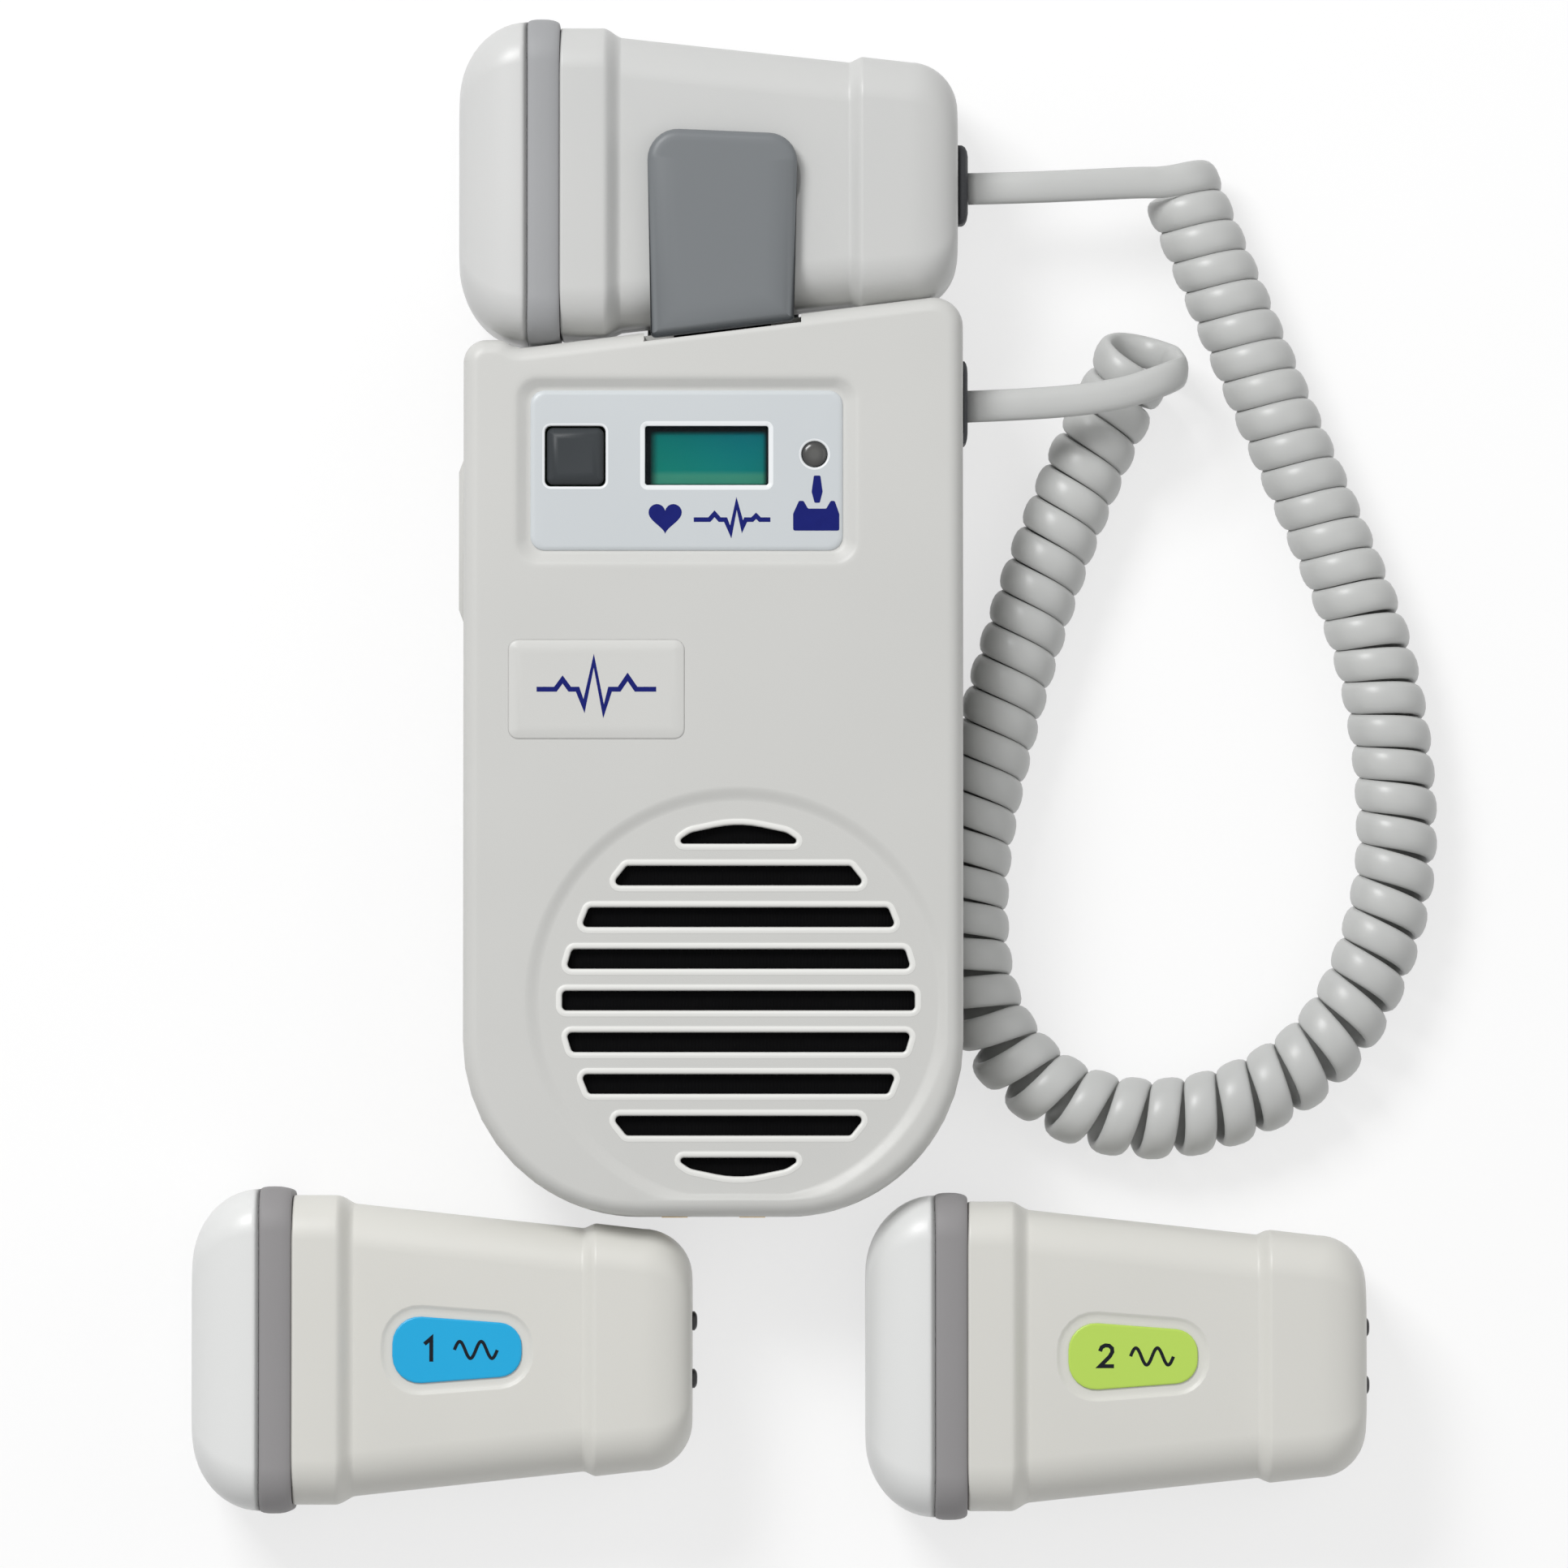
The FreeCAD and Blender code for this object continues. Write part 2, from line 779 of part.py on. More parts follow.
def rear_case():
    """The moulded back: a shallow tray with the battery hump below it, open at its end for the door."""
    hump_outline = [
        (-hump_half, hump_low), (hump_half, hump_low), (hump_half, hump_high), (-hump_half, hump_high),
    ]
    solid = fused("rear_solid", [
        case_body("rear_outer", hump, split, hump),
        prism("hump", hump_outline, Length(0), hump + OVERCUT,
              all_corners(hump_outline, size("hump_radius")), (Length(0), size("hump_edge"))),
    ])
    shell = cut("rear_shell", solid, [
        case_hollow("rear_hollow", hump + wall, split + OVERCUT),
        block("hump_hollow", (-inner_half, inner_half), (hump_low + wall, hump_high - wall),
              (wall, hump + wall + OVERCUT)),
    ])
    solids = [
        shell,
        block("partition", (-inner_half - close, inner_half + close), (partition, partition + wall),
              (wall - close, hump + wall)),
    ]
    ledge_inner = size("board_half_width") - size("board_ledge")
    ledge_outer = greater(size("board_half_width"), hump_half)
    for side, span in (("left", (-ledge_outer, -ledge_inner)), ("right", (ledge_inner, ledge_outer))):
        solids.append(block("board_ledge_" + side, span,
                            (size("board_bottom") + size("ledge_low_inset"),
                             size("board_top") - size("ledge_high_inset")),
                            (hump + wall - close, board_low)))
    for index, (x, y) in enumerate(SCREWS):
        solids.append(rod("rear_boss_%d" % index, "z", (x, y, hump + wall - close),
                          split - hump - wall + close, size("boss_radius")))
    tools = [
        block("door_opening", (-door_half - gap, door_half + gap), (hump_low - OVERCUT, partition),
              (Length(-1), door_top + gap)),
        block("door_groove", (-lip_half - gap, lip_half + gap), (hump_low - OVERCUT, partition),
              (door_top - gap, lip_top + gap)),
        grommet_hole("rear_grommet_hole"),
    ]
    for side in (-1, 1):
        middle = side * size("charge_x")
        tools.append(block("charge_hole_%d" % (side + 1), charge_span(middle, close),
                           (-size("unit_bottom") - OVERCUT, wall + OVERCUT - size("unit_bottom")),
                           charge_height(close)))
    for index, (x, y) in enumerate(SCREWS):
        head = size("screw_head_height") + close
        tools.append(rod("head_recess_%d" % index, "z", (x, y, hump - OVERCUT), head + OVERCUT,
                         size("screw_head_radius") + close))
        tools.append(rod("screw_hole_%d" % index, "z", (x, y, hump), split - hump + OVERCUT,
                         size("screw_radius") + size("running_gap")))
    return cut("rear_case", fused("rear_solids", solids), tools)


def charge_span(middle, margin):
    """Left and right of one charging contact."""
    half = size("charge_width") / 2 + margin
    return (middle - half, middle + half)


def charge_height(margin):
    """Bottom and top of a charging contact."""
    half = size("charge_height") / 2 + margin
    return (size("charge_z") - half, size("charge_z") + half)


node(rear_case(), "rear_case")


# ---------------------------------------------------------------- case screws and charging contacts

def case_screws():
    """Four self-tapping screws, driven from the back into the front case's bosses."""
    screws = []
    for index, (x, y) in enumerate(SCREWS):
        seat = hump + size("screw_head_height")
        screws.append(rod("screw_head_%d" % index, "z", (x, y, hump), size("screw_head_height"),
                          size("screw_head_radius")))
        screws.append(rod("screw_shank_%d" % index, "z", (x, y, seat - close),
                          size("screw_length") - size("screw_head_height"), size("screw_radius")))
    return fused("case_screws", screws)


node(case_screws(), "case_screws")
node(group("charge_contacts", [
    block("charge_contact_%d" % (side + 1), charge_span(side * size("charge_x"), Length(0)),
          (-size("unit_bottom") - close, wall + 0.6 - size("unit_bottom")), charge_height(Length(0)))
    for side in (-1, 1)
]), "charge_contacts")


# ---------------------------------------------------------------- control panel

def control_panel():
    """The thin printed overlay on the panel's floor, with its three openings."""
    x, y, width, height = panel_outline
    outline = rectangle(x, y, width - close * 2, height - close * 2)
    top = panel_floor + size("overlay_thickness")
    plate = prism("overlay_plate", outline, panel_floor, top, all_corners(outline, size("panel_corner")))
    opening = size("button_size") + gap * 2
    below, above = panel_floor - OVERCUT, top + OVERCUT
    return cut("control_panel", plate, [
        prism("overlay_button_hole",
              rectangle(size("button_x"), size("button_y"), opening, opening), below, above),
        prism("overlay_display_hole", rectangle(size("display_x"), size("display_y"),
                                                size("display_width"), size("display_height")), below, above),
        rod("overlay_lamp_hole", "z", (size("lamp_x"), size("lamp_y"), below), above - below,
            size("lamp_radius") + close),
    ])


def display_window():
    """The clear window, held under the overlay's edge."""
    rim = size("window_rim")
    outline = rectangle(size("display_x"), size("display_y"), size("display_width") + rim * 2,
                        size("display_height") + rim * 2)
    return prism("display_window", outline, panel_floor - size("window_thickness"), panel_floor)


def display_module():
    """The display itself, standing on the board close under its window."""
    rim = size("module_rim")
    outline = rectangle(size("display_x"), size("display_y"), size("display_width") + rim * 2,
                        size("display_height") + rim * 2)
    return prism("display_module", outline, board_high, face_underside - gap)


def indicator_lens():
    """The round lamp lens, with a flange under the face."""
    radius = size("lamp_radius")
    top = panel_floor + size("overlay_thickness") + size("lamp_proud")
    seat = face_underside - close
    flange = size("lamp_flange")
    profile = [
        (Length(0), seat - flange), (radius + flange, seat - flange), (radius + flange, seat),
        (radius, seat), (radius, top - size("lamp_bevel")), (radius - size("lamp_bevel"), top),
        (Length(0), top),
    ]
    return turned("indicator_lens", profile, size("lamp_x"), size("lamp_y"))


def power_button():
    """The square key: a cap with sloping edges, a flange that keeps it in, and a stem."""
    x, y, side = size("button_x"), size("button_y"), size("button_size")
    flange_top = face_underside - gap
    flange_low = flange_top - size("button_flange")
    top = panel_floor + size("overlay_thickness") + size("button_proud")
    cap_outline = rectangle(x, y, side, side)
    flange = side / 2 + size("button_flange_reach")
    stem = size("button_stem_half")
    return fused("power_button", [
        prism("button_cap", cap_outline, flange_top - close, top,
              all_corners(cap_outline, size("button_corner")), (top, size("button_edge"))),
        block("button_plate", (x - flange, x + flange), (y - flange, y + flange), (flange_low, flange_top)),
        block("button_stem", (x - stem, x + stem), (y - stem, y + stem),
              (button_switch_top + size("button_travel") + close, flange_low + close)),
    ])


button_switch_top = face_underside - size("button_switch_drop")


def button_switch():
    """The push switch under the power button."""
    x, y, half = size("button_x"), size("button_y"), size("button_switch_half")
    body_top = button_switch_top - size("switch_stroke")
    return fused("button_switch", [
        block("button_switch_body", (x - half, x + half), (y - half, y + half), (board_high, body_top)),
        rod("button_switch_plunger", "z", (x, y, body_top - close), size("switch_stroke") + close,
            size("switch_plunger_radius")),
    ])


node(control_panel(), "control_panel")
node(display_window(), "display_window")
node(display_module(), "display_module")
node(indicator_lens(), "indicator_lens")
node(power_button(), "power_button")
node(button_switch(), "button_switch")
node(badge("badge_plate", size("badge_width"), size("badge_height"), thickness - size("badge_pocket"),
           thickness + size("badge_proud")), "badge_plate")


# ---------------------------------------------------------------- loudspeaker

cloth_low = face_underside - size("cloth_thickness") - size("running_gap")
speaker_top = cloth_low - size("running_gap")
speaker_low = speaker_top - size("speaker_depth")
cone_seat = speaker_top - 0.7


def speaker_cloth():
    """The dust cloth behind the grille."""
    return rod("speaker_cloth", "z", (size("speaker_x"), size("speaker_y"), cloth_low),
               size("cloth_thickness"), size("speaker_radius"))


def speaker_frame():
    """The pressed basket: a flat flange and a dish down to the magnet."""
    outer, base = size("speaker_radius"), size("magnet_radius")
    flange_low = speaker_top - size("speaker_flange")
    profile = [
        (base - 3.0, speaker_low), (base + 2.0, speaker_low), (outer - 3.0, flange_low), (outer, flange_low),
        (outer, speaker_top), (outer - 2.6, speaker_top), (outer - 2.6, cone_seat), (outer - 4.2, cone_seat),
        (base + 1.2, speaker_low + 1.0), (base - 3.0, speaker_low + 1.0),
    ]
    return turned("speaker_frame", profile, size("speaker_x"), size("speaker_y"))


def speaker_cone():
    """The paper cone and its dust cap, its rim glued to the basket's ledge."""
    outer, base = size("speaker_radius"), size("magnet_radius") - 4.0
    low = speaker_low + 2.2
    profile = [
        (Length(0), low), (base, low), (outer - 4.6, cone_seat), (outer - 2.7, cone_seat),
        (outer - 2.7, cone_seat + 0.4), (outer - 4.8, cone_seat + 0.4),
        (base, low + 0.6), (Length(0), low + 1.7),
    ]
    return turned("speaker_cone", profile, size("speaker_x"), size("speaker_y"))


def speaker_magnet():
    """The ring magnet and its pole, with the voice coil's tube up to the cone."""
    radius = size("magnet_radius")
    low = speaker_low - size("magnet_thickness")
    profile = [
        (Length(0), low), (radius, low), (radius, speaker_low), (radius - 4.0, speaker_low),
        (radius - 4.0, speaker_low + 1.9), (Length(0), speaker_low + 1.9),
    ]
    return turned("speaker_magnet", profile, size("speaker_x"), size("speaker_y"))


node(speaker_cloth(), "speaker_cloth")
node(speaker_frame(), "speaker_frame")
node(speaker_cone(), "speaker_cone")
node(speaker_magnet(), "speaker_magnet")


# ---------------------------------------------------------------- circuit board and volume rocker

rocker_outer = -half_width - size("rocker_proud")
rocker_inner = wall + size("rocker_depth") - half_width
rocker_pivot_x = size("rocker_pin_inset") - half_width
board_tab = rocker_pivot_x - size("rocker_pin_margin")


def circuit_board():
    """The main board on its two ledges, with a tab out to the volume switches and room for the bosses."""
    reach = size("rocker_switch_offset") + size("board_tab_margin")
    board = fused("board_solid", [
        block("board_main", (-size("board_half_width"), size("board_half_width")),
              (size("board_bottom"), size("board_top")), (board_low, board_high)),
        block("board_tab", (board_tab, OVERCUT - size("board_half_width")),
              (size("rocker_y") - reach, size("rocker_y") + reach), (board_low, board_high)),
    ])
    return cut("circuit_board", board, [
        rod("board_notch_%d" % index, "z", (x, y, board_low - OVERCUT),
            size("board_thickness") + OVERCUT * 2, size("boss_radius") + gap)
        for index, (x, y) in enumerate(SCREWS)
    ])


def board_components():
    """The larger parts on the board: three chips, two capacitors and the indicator lamp."""
    parts = []
    for name in ("processor", "amplifier", "demodulator"):
        x, y = size(name + "_x"), size(name + "_y")
        parts.append(block("chip_" + name, (x, x + size(name + "_width")), (y, y + size(name + "_length")),
                           (board_high, board_high + size("chip_height"))))
    for index, x in enumerate([size("capacitor_x"), size("capacitor_x") + size("capacitor_pitch")]):
        parts.append(rod("capacitor_%d" % index, "z", (x, size("capacitor_y"), board_high),
                         size("capacitor_height"), size("capacitor_radius")))
    lamp_top = face_underside - close - size("lamp_flange") - gap
    parts.append(rod("lamp_body", "z", (size("lamp_x"), size("lamp_y"), board_high), lamp_top - board_high,
                     size("lamp_radius") - size("lamp_wall")))
    return group("board_components", parts)


def volume_rocker():
    """The long side key: a bar with sloping ends and a lug with a hole for its pin."""
    y, length = size("rocker_y"), size("rocker_length") / 2
    taper, lug = size("rocker_taper"), size("rocker_lug")
    outline = [
        (rocker_inner, y - length), (rocker_inner, y + length), (-half_width, y + length),
        (rocker_outer, y + length - taper), (rocker_outer, y - length + taper), (-half_width, y - length),
    ]
    bar = fused("rocker_solid", [
        prism("rocker_bar", outline, rocker_low, rocker_high),
        block("rocker_lug", (rocker_inner - close, rocker_pivot_x + size("rocker_lug_reach")),
              (y - lug, y + lug), (rocker_low, rocker_high)),
    ])
    return cut("volume_rocker", bar, [
        rod("rocker_pin_hole", "z", (rocker_pivot_x, y, rocker_low - OVERCUT),
            size("rocker_height") + OVERCUT * 2, size("rocker_pin_radius") + size("running_gap")),
    ])


def volume_switch():
    """Two side-push switches, one under each end of the rocker."""
    parts = []
    for side in (-1, 1):
        y = size("rocker_y") + side * size("rocker_switch_offset")
        half = size("volume_switch_half")
        plunger = rocker_inner + size("volume_switch_gap")
        front = plunger + size("volume_plunger")
        parts.append(block("volume_switch_%d" % (side + 1), (front, front + size("volume_switch_depth")),
                           (y - half, y + half), (board_high, board_high + size("volume_switch_height"))))
        parts.append(rod("volume_plunger_%d" % (side + 1), "x",
                         (plunger, y, board_high + size("volume_switch_height") / 2),
                         size("volume_plunger") + close, size("volume_plunger_radius")))
    return fused("volume_switch", parts)


node(circuit_board(), "circuit_board")
node(board_components(), "board_components")
node(volume_rocker(), "volume_rocker")
node(volume_switch(), "volume_switch")
node(rod("rocker_pin", "z", (rocker_pivot_x, size("rocker_y"), board_high), face_underside - board_high,
         size("rocker_pin_radius")), "rocker_pin")


# ---------------------------------------------------------------- battery

def battery_cells():
    """Four rechargeable cells side by side."""
    length = size("cell_length")
    start = hump_low + wall + size("contact_thickness") + close
    first = -(CELLS - 1) / 2 * size("cell_pitch")
    return group("battery_cells", [
        rod("cell_%d" % index, "y", (first + index * size("cell_pitch"), start,
                                     lip_top + gap + size("cell_radius")), length, size("cell_radius"))
        for index in range(CELLS)
    ])


def battery_contacts():
    """A contact strip against each end wall of the compartment."""
    span = (close - inner_half, inner_half - close)
    thick = size("contact_thickness")
    height = (lip_top + size("contact_lift"), lip_top + size("contact_lift") + size("contact_height"))
    return group("battery_contacts", [
        block("contact_low", span, (hump_low + wall, hump_low + wall + thick), height),
        block("contact_high", span, (partition - thick, partition), height),
    ])


def battery_door():
    """The sliding door: a plate with a lip that runs in the hump's grooves, and four grip grooves."""
    end = partition - gap
    plate = fused("door_solid", [
        block("door_plate", (-door_half, door_half), (hump_low, end), (size("door_recess"), door_top)),
        block("door_lip", (-lip_half, lip_half), (hump_low, end), (door_top - close, lip_top)),
    ])
    grips = []
    for index in range(GRIPS):
        start = hump_low + size("grip_start") + index * size("grip_pitch")
        grips.append(block("door_grip_%d" % index, (-size("grip_half"), size("grip_half")),
                           (start, start + size("grip_width")),
                           (Length(-OVERCUT), size("door_recess") + size("grip_depth"))))
    return cut("battery_door", plate, grips)


node(battery_cells(), "battery_cells")
node(battery_contacts(), "battery_contacts")
node(battery_door(), "battery_door")


# ---------------------------------------------------------------- cable grommet

def cable_grommet():
    """The black grommet in the right side, its flange inside the wall."""
    inside = half_width - wall - close
    flange = size("grommet_flange")
    return fused("cable_grommet", [
        block("grommet_neck", (inside - close, half_width + size("grommet_proud")),
              (grommet_start, grommet_end), (grommet_low, grommet_high)),
        block("grommet_plate", (inside - flange, inside), (grommet_start - flange, grommet_end + flange),
              (grommet_low, grommet_high + flange)),
    ])


node(cable_grommet(), "cable_grommet")


# ---------------------------------------------------------------- probe holder

tongue_top = thickness - size("tongue_recess")
tongue_low = tongue_top - size("tongue_thickness")
probe_half = size("probe_length") / 2
band_start = size("nose_length") - probe_half
band_end = band_start + size("band_width")


def docked_height():
    """Where the docked probe's axis lies: its band clears the slanted edge, its nose the shoulder."""
    over_edge = top_edge(size("docked_x") + band_end) + size("band_half")
    reach = band_start + size("docked_x") - size("shoulder_width") + half_width
    share = lesser(greater(reach, Length(0)) / size("nose_length"), Length(1))
    fall = (size("nose_half") - size("nose_tip_half")) * (1 - root(1 - share * share))
    over_shoulder = size("shoulder_height") + size("band_half") - fall
    return greater(over_edge, over_shoulder) + gap


docked_y = docked_height()


def probe_clip():
    """The grey tongue in front of the docked probe, its arm reaching down to the pivot."""
    bottom = size("notch_gap")
    inset = size("tongue_taper")
    tip = docked_y + size("tongue_reach")
    outline = [
        (tongue_left + inset, notch_floor(tongue_left + inset) + bottom),
        (tongue_right - inset, notch_floor(tongue_right - inset) + bottom),
        (tongue_right, tip - size("tongue_lean")),
        (tongue_left, tip),
    ]
    tongue = prism("clip_tongue", outline, tongue_low, tongue_top,
                   [(2, size("tongue_corner")), (3, size("tongue_corner"))],
                   (tongue_top, size("tongue_edge")))
    arm_low = pivot_z - size("barrel_radius")
    arm_high = pivot_z + size("barrel_radius")
    reach = size("arm_reach")
    solid = fused("clip_solid", [
        tongue,
        prism("clip_arm", slanted(arm_left, arm_right, -size("pivot_inset"), reach), arm_low, arm_high),
        prism("clip_riser", slanted(arm_left, arm_right, bottom, reach), arm_low, tongue_low + close),
        rod("clip_barrel", "edge", edge_point(arm_left), barrel_length, size("barrel_radius")),
    ])
    return cut("probe_clip", solid, [
        rod("clip_pin_hole", "edge", edge_point(arm_left - 2.0), barrel_length + 4.0,
            size("clip_pin_radius") + size("running_gap")),
    ])


slant_stretch = 1.0 / math.cos(math.radians(edge_angle()))
barrel_length = size("arm_half_width") * 2 * slant_stretch


def clip_spring():
    """The clip's torsion spring: three turns round the pin at each end of the barrel."""
    wire = size("spring_wire")
    turns = []
    turn = FreeCAD.Rotation(Vector(0, 0, 1), edge_angle()) * FreeCAD.Rotation(Vector(0, 1, 0), 90)
    for side in (-1, 1):
        for index in range(SPRING_TURNS):
            x = holder + side * (size("arm_half_width") + size("spring_gap") + index * wire * 2)
            ring = doc.addObject("Part::Torus", "spring_turn_%d_%d" % (side + 1, index))
            ring.Placement = FreeCAD.Placement(Vector(0, 0, 0), turn)
            for axis, value in zip("xyz", edge_point(x)):
                ring.setExpression("Placement.Base." + axis, value.text)
            ring.setExpression("Radius1", (size("clip_pin_radius") + wire + size("running_gap")).text)
            ring.setExpression("Radius2", wire.text)
            turns.append(ring)
    return group("clip_spring", turns)


def cradle_plate():
    """The holder's rear tongue behind the docked probe, seated on the end of the hump."""
    half = size("cradle_half_width")
    low = size("docked_z") + size("waist_recess") - gap - size("cradle_thickness")
    high = low + size("cradle_thickness")
    tip = docked_y + size("cradle_reach")
    outline = [
        (holder - half, hump_high), (holder + half, hump_high), (holder + half, tip), (holder - half, tip),
    ]
    return fused("cradle_plate", [
        prism("cradle_tongue", outline, low, high, [(2, size("tongue_corner")), (3, size("tongue_corner"))]),
        block("cradle_root", (holder - half, holder + half), (hump_high, hump_high + size("cradle_web")),
              (high - close, hump)),
    ])


node(probe_clip(), "probe_clip")
node(rod("clip_pin", "edge", edge_point(pin_left),
         (arm_right + size("lug_gap") + size("lug_width") - pin_left) * slant_stretch,
         size("clip_pin_radius")), "clip_pin")
node(clip_spring(), "clip_spring")
node(cradle_plate(), "cradle_plate")


# ---------------------------------------------------------------- probes

probe_low = size("band_proud")
probe_high = size("probe_thickness") - size("band_proud")
probe_middle = size("probe_thickness") / 2
waist_low = size("waist_recess")
waist_high = size("probe_thickness") - size("waist_recess")
round_steps = 6


def section(x, half, low, high, radius):
    """A rectangle with round corners, square to the probe's length."""
    centres = [(half - radius, low + radius), (half - radius, high - radius),
               (radius - half, high - radius), (radius - half, low + radius)]
    corners = []
    for quarter, (y, z) in enumerate(centres):
        places = []
        for share in (0.0, 0.5, 1.0):
            angle = math.radians(90 * (quarter - 1 + share))
            places.append(Vector(x, y + radius * math.cos(angle), z + radius * math.sin(angle)))
        corners.append(places)
    edges = []
    for quarter, places in enumerate(corners):
        edges.append(Part.Arc(*places).toShape())
        edges.append(Part.LineSegment(places[2], corners[(quarter + 1) % 4][0]).toShape())
    return Part.Wire(edges)


def lofted(stations):
    """A solid that runs straight from section to section."""
    return Part.makeLoft([section(*station) for station in stations], True, True)


def nose_stations(inset):
    """The nose cap's sections from its open end to its blunt tip."""
    stations = []
    length = size("nose_length") - inset
    fall = size("nose_half") - size("nose_tip_half")
    for step in range(round_steps + 1):
        angle = math.radians(90 * step / round_steps)
        share = 1 - math.cos(angle)
        stations.append((
            band_start - length * math.sin(angle),
            size("nose_half") - fall * share - inset,
            probe_low + size("nose_tip_rise") * share + inset,
            probe_high - size("nose_tip_rise") * share - inset,
            size("section_radius") - size("nose_tip_shrink") * share - inset,
        ))
    return stations


def handle_stations(inset):
    """The handle's sections: shoulder, step, tapering waist, step up to the rear block, round end."""
    radius = size("section_radius") - inset
    shoulder = band_end + size("shoulder_length")
    waist = shoulder + size("step_length")
    rear = probe_half - size("rear_length")
    rear_high = size("probe_thickness") - size("rear_recess")
    last = probe_half - size("rear_round")
    rear_end_half = size("rear_half") - size("rear_taper")
    stations = [
        (band_end, size("shoulder_half"), probe_low, probe_high, radius),
        (shoulder, size("shoulder_half"), probe_low, probe_high, radius),
        (waist, size("waist_front_half"), waist_low, waist_high, radius),
        (rear - size("rear_step"), size("waist_rear_half"), waist_low, waist_high, radius),
        (rear, size("rear_half"), Length(0), rear_high, radius),
    ]
    for step in range(round_steps + 1):
        angle = math.radians(90 * step / round_steps)
        share = 1 - math.cos(angle)
        stations.append((
            last + (size("rear_round") - inset) * math.sin(angle),
            rear_end_half - size("rear_round") * share,
            size("rear_rise") * share,
            rear_high - size("rear_rise") * share,
            radius - size("rear_shrink") * share,
        ))
    return [(x, half - inset, low + inset, high - inset, corner)
            for x, half, low, high, corner in stations]


def crosswise_block(x, y, z):
    """A plain block shape between two values along each axis."""
    corner = Vector(x[0], y[0], z[0])
    return Part.makeBox(x[1] - x[0], y[1] - y[0], z[1] - z[0], corner)


def stud_rods(radius, start, end):
    """Two round rods at the studs' places."""
    rods = [
        Part.makeCylinder(radius, end - start, Vector(start, side * size("stud_spacing") / 2, probe_middle),
                          Vector(1, 0, 0))
        for side in (-1, 1)
    ]
    return rods[0].fuse(rods[1])


def label_shape(margin, low, high):
    """The label's outline, taller towards the nose, between two heights."""
    start = size("label_x") - size("label_length") / 2 - margin
    end = size("label_x") + size("label_length") / 2 + margin
    front, back = size("label_front_height") / 2 + margin, size("label_rear_height") / 2 + margin
    corners = [Vector(start, -front, low), Vector(end, -back, low), Vector(end, back, low),
               Vector(start, front, low), Vector(start, -front, low)]
    solid = Part.Face(Part.makePolygon(corners)).extrude(Vector(0, 0, high - low))
    upright = [edge for edge in solid.Edges if edge.BoundBox.ZLength > 0.9 * (high - low)]
    return solid.makeFillet(size("label_corner") + margin, upright)


def probe_shapes():
    """Every piece of a probe in the probe's own frame: length along X, back at height zero."""
    thin = size("probe_wall")
    far = size("probe_length")
    nose = lofted(nose_stations(0)).cut(lofted(nose_stations(thin)))
    band_section = (size("band_half"), Length(0), size("probe_thickness"), size("section_radius"))
    inner_section = (size("nose_half") - thin, probe_low + thin, probe_high - thin,
                     size("section_radius") - thin)
    band = lofted([(band_start, *band_section), (band_end, *band_section)]).cut(
        lofted([(band_start, *inner_section), (band_end, *inner_section)]))
    handle = lofted(handle_stations(0)).cut(lofted(handle_stations(thin)))
    handle = handle.cut(stud_rods(size("stud_radius") + size("running_gap"), probe_half - 2 * thin, far))
    upper = handle.cut(crosswise_block((-far, far), (-far, far), (-far, probe_middle)))
    upper = upper.cut(label_shape(close, waist_high - size("label_depth"), waist_high + OVERCUT))
    lower = handle.cut(crosswise_block((-far, far), (-far, far), (probe_middle, far)))
    board_end = size("tuning_length") / 2 + size("tuning_offset")
    board_start = board_end - size("tuning_length")
    board_seat = probe_middle - size("tuning_thickness") - size("tuning_drop")
    rib, inset = size("rib_width"), size("rib_inset")
    rib_half = size("tuning_half") - rib
    for x in (board_start + inset, board_end - inset - rib):
        lower = lower.fuse(crosswise_block((x, x + rib), (-rib_half, rib_half),
                                           (waist_low + thin - close, board_seat)))
    board = crosswise_block((board_start, board_end), (-size("tuning_half"), size("tuning_half")),
                            (board_seat, board_seat + size("tuning_thickness")))
    can_start, can_half = board_start + size("can_inset"), size("can_side") / 2
    can = crosswise_block((can_start, can_start + size("can_side")), (-can_half, can_half),
                          (board_seat + size("tuning_thickness") - close, board_seat + size("can_height")))
    tip = thin - probe_half
    half_high, half_long = size("crystal_height") / 2, size("crystal_length") / 2
    crystals = [
        crosswise_block((tip, tip + size("crystal_thickness")), (middle - half_long, middle + half_long),
                        (probe_middle - half_high, probe_middle + half_high))
        for middle in (-half_long - size("crystal_gap") / 2, half_long + size("crystal_gap") / 2)
    ]
    seat = probe_half - thin - close
    flange = size("stud_flange")
    studs = stud_rods(size("stud_radius"), seat - size("stud_root"), probe_half + size("stud_proud"))
    studs = studs.fuse(stud_rods(size("stud_radius") + flange, seat - flange * 2, seat))
    label_low = waist_high - size("label_depth")
    return {
        "nose_cap": nose,
        "seal_band": band,
        "upper_shell": upper,
        "lower_shell": lower,
        "label_plate": label_shape(Length(0), label_low, label_low + size("label_thickness")),
        "contact_studs": studs.removeSplitter(),
        "crystal_pair": Part.makeCompound(crystals),
        "tuning_board": board.fuse(can).removeSplitter(),
    }


PROBES = {
    "docked": (size("docked_x"), docked_y, size("docked_z")),
    "left": (size("spare_left_x"), size("spare_left_y"), Length(0)),
    "right": (size("spare_right_x"), size("spare_right_y"), Length(0)),
}
for probe, place in PROBES.items():
    for piece, shape in probe_shapes().items():
        made = doc.addObject("Part::Feature", probe + "_" + piece)
        made.Shape = shape
        made.Placement = FreeCAD.Placement(Vector(*place), FreeCAD.Rotation())
        node(made, probe + "_" + piece)


# ---------------------------------------------------------------- plug

